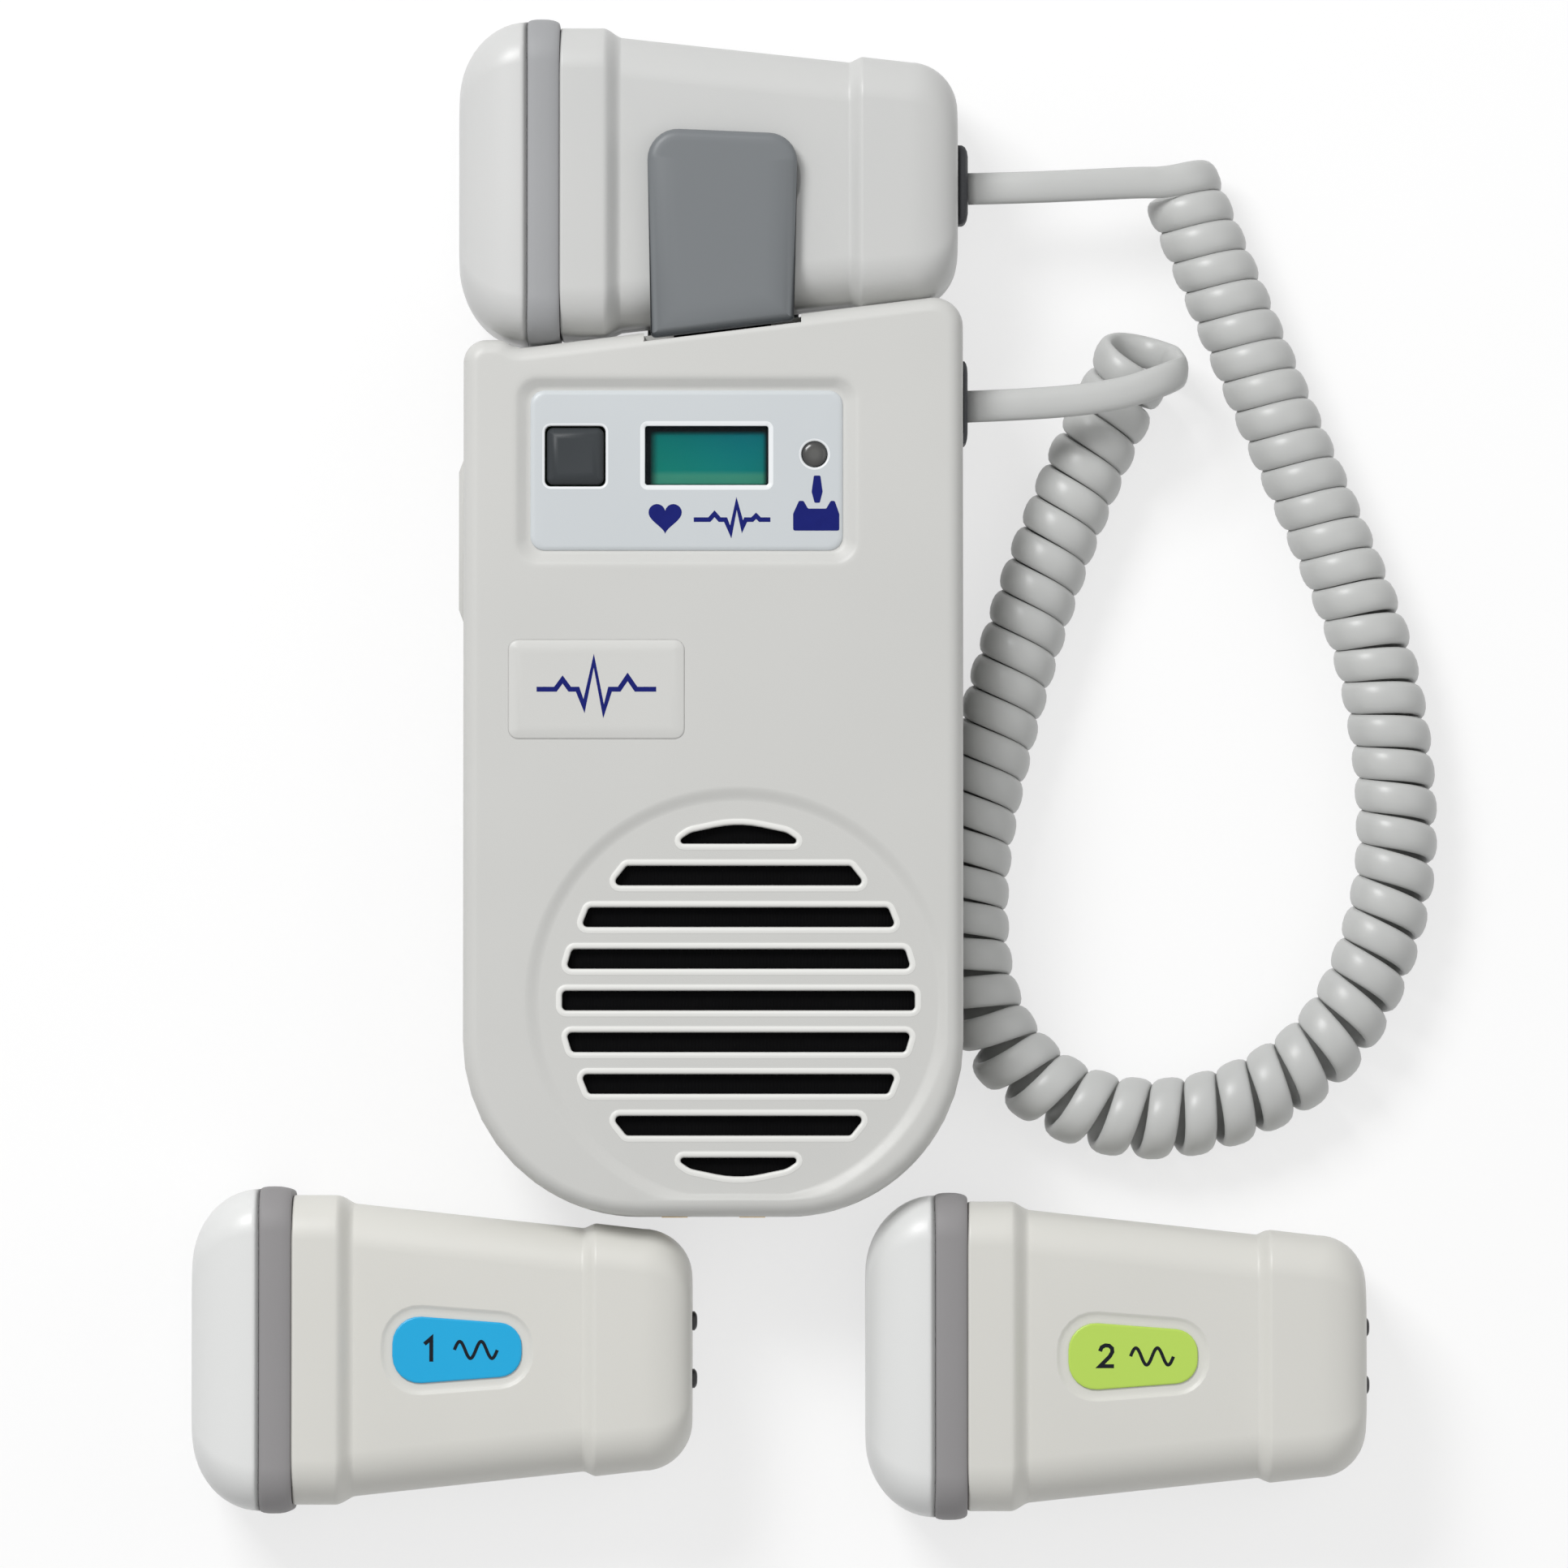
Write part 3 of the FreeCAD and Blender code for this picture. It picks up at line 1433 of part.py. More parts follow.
def probe_plug():
    """The flat black plug that covers the docked probe's two studs."""
    start = size("docked_x") + probe_half + running
    end = start + size("plug_thickness")
    y, z = docked_y, size("docked_z") + probe_middle
    outline = rectangle(start + size("plug_thickness") / 2, y, size("plug_thickness"), size("plug_length"))
    body = prism("plug_body", outline, z - size("plug_height") / 2, z + size("plug_height") / 2,
                 [(1, size("plug_edge")), (2, size("plug_edge"))])
    pockets = [
        rod("plug_pocket_%d" % (side + 1), "x",
            (start - OVERCUT, y + side * size("stud_spacing") / 2, z),
            OVERCUT + size("stud_proud") + close, size("stud_radius") + gap)
        for side in (-1, 1)
    ]
    return cut("probe_plug", body, pockets), (end, y, z)


running = size("running_gap")
plug_piece, plug_exit = probe_plug()
node(plug_piece, "probe_plug")


# ---------------------------------------------------------------- cord

lying = size("coil_diameter") / 2 + 0.1

# The curly stretch, from the top of its far limb round the bottom of the loop to its near limb.
COIL_ROUTE = [
    (77.0, 79.5), (81.4, 68.9), (89.4, 50.0), (97.0, 32.6), (103.4, 16.3), (106.5, -3.8),
    (106.0, -21.9), (98.3, -42.1), (84.9, -52.5), (68.1, -56.6), (52.1, -52.5), (40.8, -39.4),
    (38.9, -18.8), (43.4, 3.8), (51.0, 28.8), (57.4, 45.0), (60.2, 56.0),
]

# The flat lead out of the grommet: over the coil's end and round to its right.
UNIT_LEAD_ROUTE = [
    (50.0, 54.8, 20.0), (60.0, 52.6, 17.6), (69.1, 52.0, 16.2), (72.5, 55.2, 14.2), (72.8, 59.8, 12.2),
    (69.9, 63.4, 10.2), (65.3, 64.0, 8.2),
]

# The lead out of the plug: level at first, then down onto the table.
PROBE_LEAD_ROUTE = [
    (50.0, 89.17, 15.0), (60.5, 90.2, 12.0), (68.0, 90.2, 8.4),
]


def route(name, points):
    """Straight runs joined by tangent arcs, each as large as its two runs allow."""
    places = [Vector(*point) for point in points]
    edges = []
    length = 0.0
    radii = []
    start = places[0]
    for before, corner, after in zip(places, places[1:], places[2:]):
        inward = (corner - before).normalize()
        outward = (after - corner).normalize()
        turn = inward.getAngle(outward)
        tangent = 0.45 * min(before.distanceToPoint(corner), corner.distanceToPoint(after))
        radius = tangent / math.tan(turn / 2)
        arc_start = corner - inward * tangent
        arc_end = corner + outward * tangent
        to_centre = (outward - inward).normalize() * (radius / math.cos(turn / 2))
        centre = corner + to_centre
        middle = centre - (outward - inward).normalize() * radius
        edges.append(Part.LineSegment(start, arc_start).toShape())
        edges.append(Part.Arc(arc_start, middle, arc_end).toShape())
        length += start.distanceToPoint(arc_start) + radius * turn
        start = arc_end
        radii.append(radius)
    edges.append(Part.LineSegment(start, places[-1]).toShape())
    length += start.distanceToPoint(places[-1])
    print("%s: length %.1f mm, radii %s" % (name, length, " ".join("%.1f" % radius for radius in radii)))
    return Part.Wire(edges), length


def tube(name, points, diameter):
    """A round tube along a route."""
    path, length = route(name, points)
    first = Vector(*points[1]) - Vector(*points[0])
    ring = Part.Wire(Part.Circle(Vector(*points[0]), first, diameter / 2).toShape())
    made = doc.addObject("Part::Feature", name)
    made.Shape = path.makePipeShell([ring], True, False)
    expected = math.pi * (diameter / 2) ** 2 * length
    print("%s: volume %.1f of %.1f" % (name, made.Shape.Volume, expected))
    return made


def into_coil(end, neighbour, run):
    """The last two points of a lead that meets the coil's end face squarely."""
    outward = (Vector(*end) - Vector(*neighbour)).normalize()
    return [tuple(Vector(*end) + outward * run), tuple(Vector(*end) + outward * size("running_gap"))]


coil_points = [(x, y, lying) for x, y in COIL_ROUTE]
grommet_exit = (half_width + size("grommet_proud"), size("grommet_y"), size("grommet_z"))
unit_lead_points = [grommet_exit] + UNIT_LEAD_ROUTE + into_coil(coil_points[-1], coil_points[-2], 5.5)
probe_lead_points = [plug_exit] + PROBE_LEAD_ROUTE + into_coil(coil_points[0], coil_points[1], 7.0)
node(tube("coiled_cord", coil_points, size("coil_diameter")), "coiled_cord")
node(tube("unit_lead", unit_lead_points, size("cord_width")), "unit_lead")
node(tube("probe_lead", probe_lead_points, size("cord_width")), "probe_lead")


# ---------------------------------------------------------------- checks and files

doc.recompute()
for thing in doc.Objects:
    if "Invalid" in thing.State or "Error" in thing.State:
        raise RuntimeError("%s failed: %s" % (thing.Name, thing.State))
for piece in NODES:
    if piece.Shape.isNull() or not piece.Shape.isValid() or not piece.Shape.Solids:
        raise RuntimeError("%s has no valid solid" % piece.Label)

os.makedirs("parts", exist_ok=True)
for piece in NODES:
    piece.Shape.exportStep("parts/%s.step" % piece.Label)
print("%d nodes" % len(NODES))
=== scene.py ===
import bmesh
import bpy
import math
from mathutils import Matrix, Vector


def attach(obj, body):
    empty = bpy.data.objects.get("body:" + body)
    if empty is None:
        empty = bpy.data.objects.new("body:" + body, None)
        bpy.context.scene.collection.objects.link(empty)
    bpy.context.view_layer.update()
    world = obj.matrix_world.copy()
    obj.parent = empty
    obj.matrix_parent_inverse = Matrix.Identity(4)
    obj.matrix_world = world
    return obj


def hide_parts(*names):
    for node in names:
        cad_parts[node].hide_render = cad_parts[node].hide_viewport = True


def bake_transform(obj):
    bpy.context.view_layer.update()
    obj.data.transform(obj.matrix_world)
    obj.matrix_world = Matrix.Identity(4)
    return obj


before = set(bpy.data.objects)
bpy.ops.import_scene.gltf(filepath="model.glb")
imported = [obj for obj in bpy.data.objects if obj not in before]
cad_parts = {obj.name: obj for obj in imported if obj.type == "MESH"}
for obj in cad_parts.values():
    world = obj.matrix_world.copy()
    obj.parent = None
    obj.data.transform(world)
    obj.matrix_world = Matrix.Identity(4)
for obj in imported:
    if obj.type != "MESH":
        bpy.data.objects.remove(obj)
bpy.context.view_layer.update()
MM = 0.001


# ---------------------------------------------------------------- camera, lamps and table
# A studio shot from almost straight above, the unit's foot towards the viewer. Three large soft lamps and a
# white room light the table evenly, the strongest lamp from the upper left, so each step has a faint shadow.
look_at = Vector((10.9, -4.3, 26.0)) * MM
camera_distance = 1800 * MM
camera_elevation = math.radians(87.5)
half_view = 120.8 * MM
camera_data = bpy.data.cameras.new("camera")
camera = bpy.data.objects.new("camera", camera_data)
bpy.context.scene.collection.objects.link(camera)
toward_camera = Vector((0, -math.cos(camera_elevation), math.sin(camera_elevation)))
camera.location = look_at + toward_camera * camera_distance
camera.rotation_euler = (-toward_camera).to_track_quat("-Z", "Y").to_euler()
camera_data.angle = 2 * math.atan(half_view / camera_distance)
camera_data.clip_start = 0.01
bpy.context.scene.camera = camera
bpy.context.scene.view_settings.view_transform = "Standard"

for name, place, across, strength in (
    ("lamp_upper_left", (-0.45, 0.62, 0.83), 0.4, 7.8),
    ("lamp_right", (0.75, 0.1, 0.7), 0.7, 1.0),
    ("lamp_front", (-0.1, -0.8, 0.8), 0.8, 0.3),
):
    lamp_data = bpy.data.lights.new(name, "AREA")
    lamp_data.size = across
    lamp_data.energy = strength
    lamp = bpy.data.objects.new(name, lamp_data)
    lamp.location = Vector(place)
    lamp.rotation_euler = (look_at - lamp.location).to_track_quat("-Z", "Y").to_euler()
    bpy.context.scene.collection.objects.link(lamp)


class Wire:
    """A socket in a node tree. Sums on it add maths nodes, and call adds any other node."""

    def __init__(self, tree, value):
        self.tree, self.value = tree, value

    def call(self, kind, inputs, output=0, family="ShaderNode", **settings):
        node = self.tree.nodes.new(family + kind)
        for name, setting in settings.items():
            setattr(node, name, setting)
        for name, values in inputs.items():
            for value in values if isinstance(values, list) else [values]:
                if isinstance(value, Wire):
                    self.tree.links.new(value.value, node.inputs[name])
                else:
                    node.inputs[name].default_value = value
        return Wire(self.tree, node.outputs[output])

    def maths(self, operation, *others):
        return self.call("Math", dict(enumerate((self, *others))), operation=operation)

    def __add__(self, other):
        return self.maths("ADD", other)

    def __sub__(self, other):
        return self.maths("SUBTRACT", other)

    def __rsub__(self, other):
        return self.maths("MULTIPLY", -1.0).maths("ADD", other)

    def __mul__(self, other):
        return self.maths("MULTIPLY", other)

    __radd__, __rmul__ = __add__, __mul__


def spots(place, scale, detail=3.0):
    """Soft mottling, 0 to 1, with this many spots to the metre."""
    return place.call("TexNoise", {"Vector": place, "Scale": scale, "Detail": detail})


def blended(share, first, second):
    """One colour running into another."""
    return share.call("Mix", {0: share, 6: first, 7: second}, output=2, data_type="RGBA")


def srgb(red, green, blue):
    """A colour as it looks on a screen, 0 to 255, in the shader's linear numbers."""
    linear = []
    for part in (red, green, blue):
        share = part / 255
        linear.append(share / 12.92 if share <= 0.04045 else ((share + 0.055) / 1.055) ** 2.4)
    return (*linear, 1)


def finish(name, paint):
    """A material from a function that takes the place in space and gives the surface shader's values."""
    material = bpy.data.materials.new(name)
    material.use_nodes = True
    tree = material.node_tree
    shader = tree.nodes["Principled BSDF"]
    place = Wire(tree, tree.nodes.new("ShaderNodeTexCoord").outputs["Object"])
    for socket, value in paint(place).items():
        if isinstance(value, Wire):
            tree.links.new(value.value, shader.inputs[socket])
        else:
            shader.inputs[socket].default_value = value
    return material


def seen_share(wire):
    """1 for rays from the camera and for what gloss and glass show, 0 for the light itself."""
    share = wire.call("LightPath", {}, output="Is Camera Ray")
    for kind in ("Is Glossy Ray", "Is Transmission Ray"):
        share = share.maths("MAXIMUM", wire.call("LightPath", {}, output=kind))
    return share


table_reach = 3.0
table_corners = [(x * table_reach, y * table_reach, 0) for x, y in ((-1, -1), (1, -1), (1, 1), (-1, 1))]
table_mesh = bpy.data.meshes.new("table")
table_mesh.from_pydata(table_corners, [], [(0, 1, 2, 3)])
table_mesh.materials.append(finish("table_white", lambda place: {
    "Base Color": blended(seen_share(place), srgb(208, 208, 208), srgb(158, 158, 158)),
    "Emission Color": blended(seen_share(place), (0, 0, 0, 1), (1, 1, 1, 1)),
    "Emission Strength": 0.68,
    "Roughness": spots(place, 12) * 0.1 + 0.85,
    "Specular IOR Level": 0.1,
}))
table = bpy.data.objects.new("table", table_mesh)
bpy.context.scene.collection.objects.link(table)

world = bpy.data.worlds.new("studio")
world.use_nodes = True
bpy.context.scene.world = world
background = world.node_tree.nodes["Background"]
background.inputs["Color"].default_value = (1, 1, 1, 1)
seen = seen_share(Wire(world.node_tree, None))
world.node_tree.links.new((seen * 0.6 + 0.4).value, background.inputs["Strength"])


# ---------------------------------------------------------------- curly cord
# One flat strip of grey rubber, 5 by 2.4 mm, from the probe's plug to the unit's grommet. Most of it is wound
# flat side outwards into a curl that lies on the table in a loop, and its turns open a little in the bend.
strip_width = 5.0
strip_thickness = 2.4
strip_corners = 16
curl_radius = 5.15
turn_pitch = 5.03
steps_per_turn = 30

# The curl's axis in part.py's points, carried on at both ends to where its first and last turns lie. The last
# turn is lifted off the table by the lead to the unit, so the curl's open end shows.
curl_route = [
    (72.5, 90.4), (77.0, 79.5), (81.4, 68.9), (89.4, 50.0), (97.0, 32.6), (103.4, 16.3), (106.5, -3.8),
    (106.0, -21.9), (98.3, -42.1), (84.9, -52.5), (68.1, -56.6), (52.1, -52.5), (40.8, -39.4),
    (38.9, -18.8), (43.4, 3.8), (51.0, 28.8), (57.4, 45.0),
]
curl_axis = [(x, y, 6.5) for x, y in curl_route] + [(61.0, 52.8, 6.6), (63.9, 58.4, 7.2), (66.3, 64.3, 9.0)]
cord_path, cord_out = [], []


def smooth_line(route, divisions):
    """Points along a smooth curve whose control points are the route's, in millimetres."""
    curve = bpy.data.curves.new("route", "CURVE")
    curve.dimensions = "3D"
    curve.resolution_u = divisions
    spline = curve.splines.new("NURBS")
    spline.points.add(len(route) - 1)
    for point, place in zip(spline.points, route):
        point.co = (*place, 1)
    spline.order_u = 3
    spline.use_endpoint_u = True
    holder = bpy.data.objects.new("route", curve)
    mesh = bpy.data.meshes.new_from_object(holder)
    line = [vertex.co.copy() for vertex in mesh.vertices]
    bpy.data.meshes.remove(mesh)
    bpy.data.objects.remove(holder)
    bpy.data.curves.remove(curve)
    return line


def lead(route, outs):
    """Adds a stretch that isn't wound: its line and, point by point, the way its flat side faces."""
    line = smooth_line(route, 10)
    faces = smooth_line(outs, 10)
    for index in range(len(line)):
        before, after = line[max(index - 1, 0)], line[min(index + 1, len(line) - 1)]
        run = (after - before).normalized()
        face = faces[index] - run * faces[index].dot(run)
        cord_path.append(line[index])
        cord_out.append(face.normalized())


def wound(distance, turned):
    """A point of the winding, the way it faces and the way it runs."""
    index = 1
    while index < len(axis_line) - 1 and axis_total[index] < distance:
        index += 1
    span = axis_total[index] - axis_total[index - 1]
    middle = axis_line[index - 1].lerp(axis_line[index], (distance - axis_total[index - 1]) / span)
    forward = (axis_line[index] - axis_line[index - 1]).normalized()
    side = Vector((0, 0, 1)).cross(forward).normalized()
    above = forward.cross(side)
    out = above * math.cos(turned) + side * math.sin(turned)
    run = side * math.cos(turned) - above * math.sin(turned)
    run = (run * curl_radius + forward * (turn_pitch / (2 * math.pi))).normalized()
    return middle + out * curl_radius, out, run


axis_line = smooth_line(curl_axis, 40)
axis_total = [0.0]
for before, after in zip(axis_line, axis_line[1:]):
    axis_total.append(axis_total[-1] + (after - before).length)
axis_bend = [0.0]
for index in range(1, len(axis_line) - 1):
    first = axis_line[index] - axis_line[index - 1]
    second = axis_line[index + 1] - axis_line[index]
    axis_bend.append(first.angle(second, 0.0) / max(second.length, 1e-6))

# The turns touch on the inside of each bend, so their spacing along the axis grows with it. The bend, in
# radians to the millimetre, is averaged over a stretch of the axis and held within a limit.
averaging_reach = 6.0
sharpest_bend = 0.085
touching_radius = curl_radius + 0.4
tightest_share = 0.55
spacing = []
distance = 0.0
while distance < axis_total[-1]:
    spacing.append(distance)
    near = [bend for total, bend in zip(axis_total, axis_bend) if abs(total - distance) < averaging_reach]
    bend = min(sum(near) / len(near), sharpest_bend)
    distance += turn_pitch / max(1 - bend * touching_radius, tightest_share) / steps_per_turn

# The first turn starts at the curl's top and the last one ends on its right side, going up.
first_turned, last_turned = math.radians(8), math.radians(258)
whole_turns = round((len(spacing) - 1) / steps_per_turn - (last_turned - first_turned) / (2 * math.pi))
step_turned = (2 * math.pi * whole_turns + last_turned - first_turned) / (len(spacing) - 1)
winding = [(distance, first_turned + step_turned * index) for index, distance in enumerate(spacing)]

start, start_out, start_run = wound(*winding[0])
end, end_out, end_run = wound(*winding[-1])
lead([
    (39.45, 88.7, 15.0), (48.0, 88.9, 15.0), (58.0, 89.4, 14.2), (66.0, 89.9, 13.2),
    tuple(start - start_run * 3), tuple(start),
], [(0, 0, 1)] * 4 + [tuple(start_out)] * 2)
for distance, turned in winding[1:-1]:
    place, out, run = wound(distance, turned)
    cord_path.append(place)
    cord_out.append(out)
lead([
    tuple(end), tuple(end + end_run * 2.4), (72.9, 60.5, 12.3), (71.8, 59.7, 15.9), (68.6, 58.3, 18.1),
    (63.0, 56.4, 19.0), (52.0, 54.9, 19.8), (38.9, 54.4, 20.0),
], [
    tuple(end_out), tuple(end_out), (1.0, -0.1, 0.1), (0.8, -0.1, 0.6), (0.3, -0.1, 0.95),
    (0.05, 0, 1), (0, 0, 1), (0, 0, 1),
])


def skin(shape, rings, paint=0):
    """Joins closed rings of as many points each, in millimetres, by faces. Returns the rings' vertices."""
    rows = [[shape.verts.new(Vector(point) * MM) for point in ring] for ring in rings]
    count = len(rows[0])
    for before, after in zip(rows, rows[1:]):
        for index in range(count):
            following = (index + 1) % count
            face = shape.faces.new((before[index], before[following], after[following], after[index]))
            face.material_index = paint
    return rows


def as_object(name, shape):
    """An object in the scene from a shape, with outward faces and smooth shading."""
    bmesh.ops.recalc_face_normals(shape, faces=shape.faces)
    mesh = bpy.data.meshes.new(name)
    shape.to_mesh(mesh)
    shape.free()
    mesh.shade_smooth()
    made = bpy.data.objects.new(name, mesh)
    bpy.context.scene.collection.objects.link(made)
    return made


def relief(height, depth):
    """A bump whose height goes from 0 to this depth in metres."""
    return height.call("Bump", {"Height": height, "Distance": depth, "Strength": 1.0}, output="Normal")


# The strip's section is flat with puffed faces. It is swept along the path and faces the given ways.
section = []
for corner in range(strip_corners):
    angle = 2 * math.pi * (corner + 0.5) / strip_corners
    across, through = math.cos(angle), math.sin(angle)
    across = math.copysign(abs(across) ** 0.9, across)
    section.append((across * strip_width / 2, through * strip_thickness / 2))
strip_rings = []
for index, (place, out) in enumerate(zip(cord_path, cord_out)):
    run = cord_path[min(index + 1, len(cord_path) - 1)] - cord_path[max(index - 1, 0)]
    across = run.cross(out).normalized()
    strip_rings.append([place + across * x + out * z for x, z in section])
shape = bmesh.new()
rows = skin(shape, strip_rings)
shape.faces.new(reversed(rows[0]))
shape.faces.new(rows[-1])
cord = as_object("curly_cord", shape)
cord.data.materials.append(finish("cord_rubber", lambda place: {
    "Base Color": blended(spots(place, 60), srgb(193, 194, 193), srgb(205, 206, 204)),
    "Roughness": spots(place, 240) * 0.12 + 0.3,
    "Normal": relief(spots(place, 3800), 0.000008),
}))
cord_length = sum((after - before).length for before, after in zip(cord_path, cord_path[1:])) * MM
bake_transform(cord)
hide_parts("coiled_cord", "unit_lead", "probe_lead")


# ---------------------------------------------------------------- front case
# The moulded light grey face of the unit: soft rim, sunk control panel, pocket for the name plate blank and
# a shallow dish with nine slots for the loudspeaker. It meets the rear case in a fine groove.
half_width = 38.5
case_outline = [
    (-half_width, -70.9, 27.0), (half_width, -70.9, 27.0), (half_width, 71.35, 4.5), (-30.4, 62.85, 3.0),
    (-32.4, 64.2, 3.5), (-half_width, 64.2, 3.5),
]
outline_steps = 10
parting, inside, case_top = 19.0, 27.8, 30.0
case_wall = 2.0
groove_deep, groove_high = 0.28, 0.35
rim_across, rim_down, rim_steps = 2.4, 3.0, 8
notch_left, notch_right, notch_depth, notch_floor = -10.75, 13.55, 1.5, 21.0
rocker_middle = (33.25, 23.2)
panel, panel_floor = (-4.1, 43.9), 28.8
key_middle, key_hole = (-21.25, 46.1), 9.35
window_middle = (-1.0, 46.2)
lens_middle, lens_hole = (15.6, 46.4), 2.0
badge, badge_floor = (-17.95, 10.1), 29.7
dish, dish_floor = (3.9, -37.75), 29.3
dish_radius, floor_radius = 33.0, 30.6
slot_spacing, slot_half_height = 6.41, 1.5
same_place = 2e-7


def rounded(corners, inset, steps):
    """An outline with round corners, each given as x, y and radius, drawn in by an inset."""
    points = []
    for index, (x, y, radius) in enumerate(corners):
        here = Vector((x, y))
        before = here - Vector(corners[index - 1][:2])
        after = Vector(corners[(index + 1) % len(corners)][:2]) - here
        before.normalize()
        after.normalize()
        turn = math.atan2(before.x * after.y - before.y * after.x, before.dot(after))
        side = math.copysign(1.0, turn)
        reach = max(radius - side * inset, 0.0)
        inward = Vector((-before.y, before.x))
        inward_after = Vector((-after.y, after.x))
        here = here + (inward + inward_after) * (inset / (1 + inward.dot(inward_after)))
        centre = here - before * (reach * math.tan(abs(turn) / 2)) + inward * (reach * side)
        for step in range(steps + 1):
            arm = Matrix.Rotation(turn * step / steps, 2) @ (inward * (-reach * side))
            points.append(tuple(centre + arm))
    return points


def box_outline(middle, width, height, radius, inset=0.0, steps=6):
    """A rectangle with round corners."""
    x, y = middle
    across, up = width / 2, height / 2
    return rounded([(x - across, y - up, radius), (x + across, y - up, radius), (x + across, y + up, radius),
                    (x - across, y + up, radius)], inset, steps)


def circle(middle, radius, count):
    """Points once round a circle."""
    angles = [math.radians(360 / count * turn) for turn in range(count)]
    return [(middle[0] + radius * math.cos(angle), middle[1] + radius * math.sin(angle)) for angle in angles]


def level(outline, z):
    """A flat outline at one height."""
    return [(x, y, z) for x, y in outline]


def fill(shape, height, axis=2):
    """Closes the flat face at one height, round every opening in it."""
    bmesh.ops.remove_doubles(shape, verts=shape.verts, dist=same_place)
    bmesh.ops.dissolve_degenerate(shape, edges=shape.edges, dist=same_place)
    edges = [edge for edge in shape.edges if edge.is_boundary
             and all(abs(vertex.co[axis] - height * MM) < same_place for vertex in edge.verts)]
    bmesh.ops.triangle_fill(shape, edges=edges, use_beauty=True)


def piece(name, shape, materials, body, *nodes, slot=None):
    """A finished piece from its shape: one skin, its materials, its body and nodes. The slot argument is not
    used.
    """
    bmesh.ops.remove_doubles(shape, verts=shape.verts, dist=same_place)
    made = as_object(name, shape)
    for material in materials:
        made.data.materials.append(material)
    made.modifiers.new("flats", "WEIGHTED_NORMAL").keep_sharp = True
    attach(made, body)
    if nodes:
        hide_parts(*nodes)
    return made


def case_ring(z, inset=0.0, depth=0.0):
    """The unit's outline at one height. The clip's notch lies in its slanted top edge, after corner three."""
    points = rounded(case_outline, inset, outline_steps)
    edge = 3 * (outline_steps + 1)
    right, left = Vector(points[edge - 1]), Vector(points[edge])
    run = (left - right).normalized()
    down = Vector((-run.y, run.x)) * max(depth - inset, 0.0)
    ends = [right + run * ((x - right.x) / run.x) for x in (notch_right, notch_left)]
    points[edge:edge] = [tuple(ends[0]), tuple(ends[0] + down), tuple(ends[1] + down), tuple(ends[1])]
    return level(points, z)


def moulded(name, deep, pale, rough=0.42, grain=0.00001, shine=0.5):
    """Moulded plastic with a fine sparked grain and a hardly visible drift of tone."""
    return finish(name, lambda place: {
        "Base Color": blended(spots(place, 30, 2.0), srgb(*deep), srgb(*pale)),
        "Roughness": spots(place, 700) * 0.1 + (rough - 0.05),
        "Specular IOR Level": shine,
        "Normal": relief(spots(place, 5200, 2.0), grain),
    })


case_grey = moulded("case_grey", (207, 207, 204), (213, 213, 210))
# The slots' lips get a paler colour: a painted highlight.
painted_lip_highlight = moulded("painted_lip_highlight", (235, 235, 231), (241, 241, 238), 0.35)

case = bmesh.new()
rim_rings = []
for step in range(rim_steps + 1):
    angle = math.pi / 2 * step / rim_steps
    z = case_top - rim_down + rim_down * math.sin(angle)
    rim_rings.append(case_ring(z, rim_across * (1 - math.cos(angle)), notch_depth))
skin(case, [case_ring(parting, case_wall), case_ring(parting, groove_deep), case_ring(parting + groove_high),
            case_ring(notch_floor), case_ring(notch_floor, 0.0, notch_depth), *rim_rings])
skin(case, [case_ring(parting, case_wall), case_ring(inside, case_wall)])

# The opening for the volume rocker in the left wall, with a small chamfer.
bmesh.ops.remove_doubles(case, verts=case.verts, dist=same_place)
above_groove = (parting + 0.3) * MM
left_wall = [face for face in case.faces if face.calc_area() > 1e-4
             and all(abs(vertex.co.x + half_width * MM) < same_place and vertex.co.z > above_groove
                     for vertex in face.verts)]
bmesh.ops.delete(case, geom=left_wall, context="FACES_ONLY")
skin(case, [[(deep - half_width, y, z)
             for y, z in box_outline(rocker_middle, 25.9 + wider, 4.6 + wider, 0.3, steps=3)]
            for deep, wider in ((0.0, 0.3), (0.15, 0.0), (1.9, 0.0))])

# The sunk panel: a rounded brow, four sloping walls and the floor under the overlay, with three openings.
skin(case, [level(box_outline(panel, width, height, radius), z) for width, height, radius, z in (
    (53.8, 30.4, 3.8, case_top), (52.9, 29.2, 3.5, 29.98), (52.3, 28.5, 3.3, 29.88), (51.6, 27.8, 3.0, 29.68),
    (49.7, 26.1, 2.5, 29.05), (48.9, 25.4, 2.3, 28.85), (48.2, 24.8, 2.1, panel_floor),
)])
for opening in (box_outline(key_middle, key_hole, key_hole, 0.9, steps=3),
                box_outline(window_middle, 19.8, 9.9, 0.3, steps=2),
                circle(lens_middle, lens_hole, 36)):
    skin(case, [level(opening, z) for z in (panel_floor, inside)])

# The name plate blank's pocket.
skin(case, [level(box_outline(badge, 27.2 - less, 15.4 - less, 1.55), z)
            for less, z in ((0.0, case_top), (0.06, 29.96), (0.06, badge_floor))])

# The dish: a soft step all round, drawn in where the rim is near.
flat_edge = [Vector(point[:2]) for point in rim_rings[-1]]


def reach_to_rim(angle):
    """Distance from the dish's middle to the edge of the flat, in one direction."""
    ray_x, ray_y = math.cos(angle), math.sin(angle)
    nearest = math.inf
    for first, second in zip(flat_edge, flat_edge[1:] + flat_edge[:1]):
        run = second - first
        cross = ray_x * run.y - ray_y * run.x
        if abs(cross) > 1e-9:
            offset = first - Vector(dish)
            distance = (offset.x * run.y - offset.y * run.x) / cross
            share = (offset.x * ray_y - offset.y * ray_x) / cross
            if distance > 0 and 0 <= share <= 1:
                nearest = min(nearest, distance)
    return nearest


def gentle(share):
    """0 to 1 with a soft start and a soft end."""
    return share * share * (3 - 2 * share)


